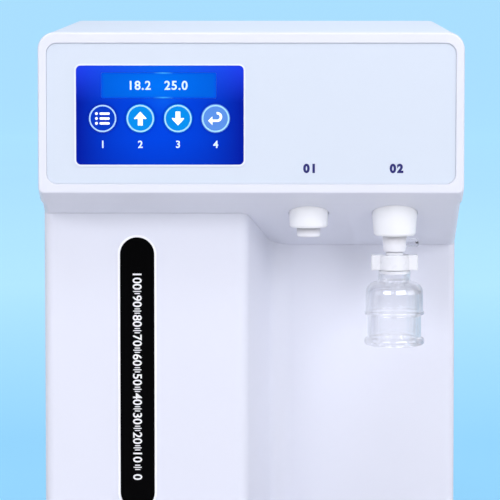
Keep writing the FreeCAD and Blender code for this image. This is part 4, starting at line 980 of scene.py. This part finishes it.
def floor_finish(name):
    """Pale in front, turning softly blue behind the object, with a faint glow of its own there."""
    made = Finish(name, FLOOR, 0.7, Specular_IOR_Level=0.1)
    x, y, _ = made.across()
    behind = made.clamp((y - BLUE_FROM) / BLUE_OVER)
    middle = made.clamp((BLUE_HALF + BLUE_FADE + y * BLUE_WIDER - abs(x)) / BLUE_FADE)
    far = made.mix(made.clamp((y - FAR_FROM) / FAR_OVER), NEAR_GLOW, FAR_GLOW)
    made.set("Base Color", made.mix(behind, FLOOR, BACKDROP))
    made.set("Emission Color", made.mix(behind, BLACK, made.mix(middle, SIDE_GLOW, far)))
    made.set("Emission Strength", 1.0)
    made.uneven_gloss(0.62, swing=0.1, mask=made.noise(scale=3, detail=2))
    return made.material


def stage():
    """Plain floor that curves up into a backdrop."""
    line = [(STAGE_FRONT, 0.0)]
    for step in range(BEND_STEPS + 1):
        angle = math.pi / 2 * step / BEND_STEPS
        line.append((STAGE_BEND + STAGE_RADIUS * math.sin(angle), STAGE_RADIUS * (1 - math.cos(angle))))
    line.append((STAGE_BEND + STAGE_RADIUS, STAGE_TOP))
    shape = bmesh.new()
    rows = [[shape.verts.new((side * STAGE_HALF, y, z)) for side in (-1, 1)] for y, z in line]
    for near, far in zip(rows, rows[1:]):
        shape.faces.new((near[0], near[1], far[1], far[0]))
    mesh = bpy.data.meshes.new("pale_floor")
    shape.to_mesh(mesh)
    shape.free()
    mesh.shade_smooth()
    mesh.materials.append(floor_finish("pale_floor"))
    floor = bpy.data.objects.new("pale_floor", mesh)
    bpy.context.scene.collection.objects.link(floor)


# Light and camera
AIM = (0, -0.1, 0.3)
LAMP_COLOUR = (0.93, 0.94, 1.0)
SKY = (0.98, 0.975, 1.0, 1)
SKY_STRENGTH = 0.3

# Each lamp: name, place, width, height, power, whether it shows in gloss, whether it lights surfaces
LAMPS = [
    ("front_softbox", (0, -3.3, 2.05), 2.4, 1.2, 6, False, True),
    ("left_key", (-1.7, -3.0, 1.8), 1.3, 1.1, 32, False, True),
    ("right_key", (1.7, -3.0, 1.8), 1.7, 1.3, 39, False, True),
    ("left_glint", (-1.7, -3.0, 1.85), 2.0, 1.7, 50, True, False),
    ("right_glint", (1.6, -3.0, 1.85), 2.5, 1.8, 75, True, False),
    ("high_softbox", (-0.2, -2.2, 3.3), 1.6, 1.2, 15, False, True),
    ("high_lamp", (-0.3, -1.7, 3.2), 0.7, 0.7, 11, False, True),
    ("overhead_softbox", (0, 0.4, 3.4), 2.6, 2.0, 26, True, True),
    ("right_softbox", (3.4, -1.2, 1.3), 2.0, 2.0, 25, True, True),
    ("left_softbox", (-3.4, -1.2, 1.3), 1.6, 2.0, 12, True, True),
    ("rear_softbox", (0.8, 3.6, 2.4), 2.4, 1.8, 13, True, True),
]

# Metres right of x = 0, above the object's top and before its front, degrees down and round, lens in mm
CAMERA_RIGHT = 0.027
CAMERA_RISE = 0.077
CAMERA_DISTANCE = 2.962
CAMERA_PITCH = 4.937
CAMERA_YAW = 0.54
CAMERA_REACH = 60
LENS = 260.2


def softbox(name, place, width, height, power, mirrored, lighting):
    """Large even lamp aimed at the object."""
    data = bpy.data.lights.new(name, "AREA")
    data.shape = "RECTANGLE"
    data.size = width
    data.size_y = height
    data.energy = power
    data.color = LAMP_COLOUR
    lamp = bpy.data.objects.new(name, data)
    lamp.location = place
    lamp.rotation_euler = (Vector(AIM) - Vector(place)).to_track_quat("-Z", "Y").to_euler()
    lamp.visible_glossy = mirrored
    lamp.visible_diffuse = lighting
    bpy.context.scene.collection.objects.link(lamp)


def light():
    """Even pale surroundings and the lamps."""
    world = bpy.data.worlds.new("studio")
    world.use_nodes = True
    sky = world.node_tree.nodes["Background"]
    sky.inputs["Color"].default_value = SKY
    sky.inputs["Strength"].default_value = SKY_STRENGTH
    bpy.context.scene.world = world
    for lamp in LAMPS:
        softbox(*lamp)


def camera():
    """The photograph's view, from the size of the object."""
    low, high = CAD_BOX
    data = bpy.data.cameras.new("photo_view")
    data.lens = LENS
    data.clip_end = CAMERA_REACH
    eye = bpy.data.objects.new("photo_view", data)
    eye.location = (CAMERA_RIGHT, low[1] - CAMERA_DISTANCE, high[2] + CAMERA_RISE)
    eye.rotation_euler = (math.radians(90 - CAMERA_PITCH), 0, math.radians(CAMERA_YAW))
    bpy.context.scene.collection.objects.link(eye)
    bpy.context.scene.camera = eye


def build():
    slots = finishes()
    dress_nodes(slots)
    white = printed("white_print", (0.95, 0.97, 1.0), shine=0.35)
    navy = printed("navy_print", (0.003, 0.003, 0.14))
    lavender = printed("lavender_line", (0.38, 0.6, 0.98), shine=0.14)
    soft = printed("soft_print", (0.62, 0.75, 0.98), shine=0.25)
    ice = printed("ice_blue_line", (0.36, 0.68, 0.95), shine=0.12)
    display_rim(printed("rim_line", (0.84, 0.88, 0.97)))
    keys(white, (lavender, ice, ice, ice), soft)
    window_digits(soft)
    outlet_digits(navy)
    final_filter(slots["clear_plastic"], slots["membrane_white"])
    vent_seal(rubber("vent_seal_rubber", (0.09, 0.09, 0.1)))
    strip_scale(printed("strip_print", (0.9, 0.9, 0.9)))
    rear_digits(navy)
    stage()
    light()
    camera()
    bpy.context.scene.view_settings.view_transform = "Standard"


build()
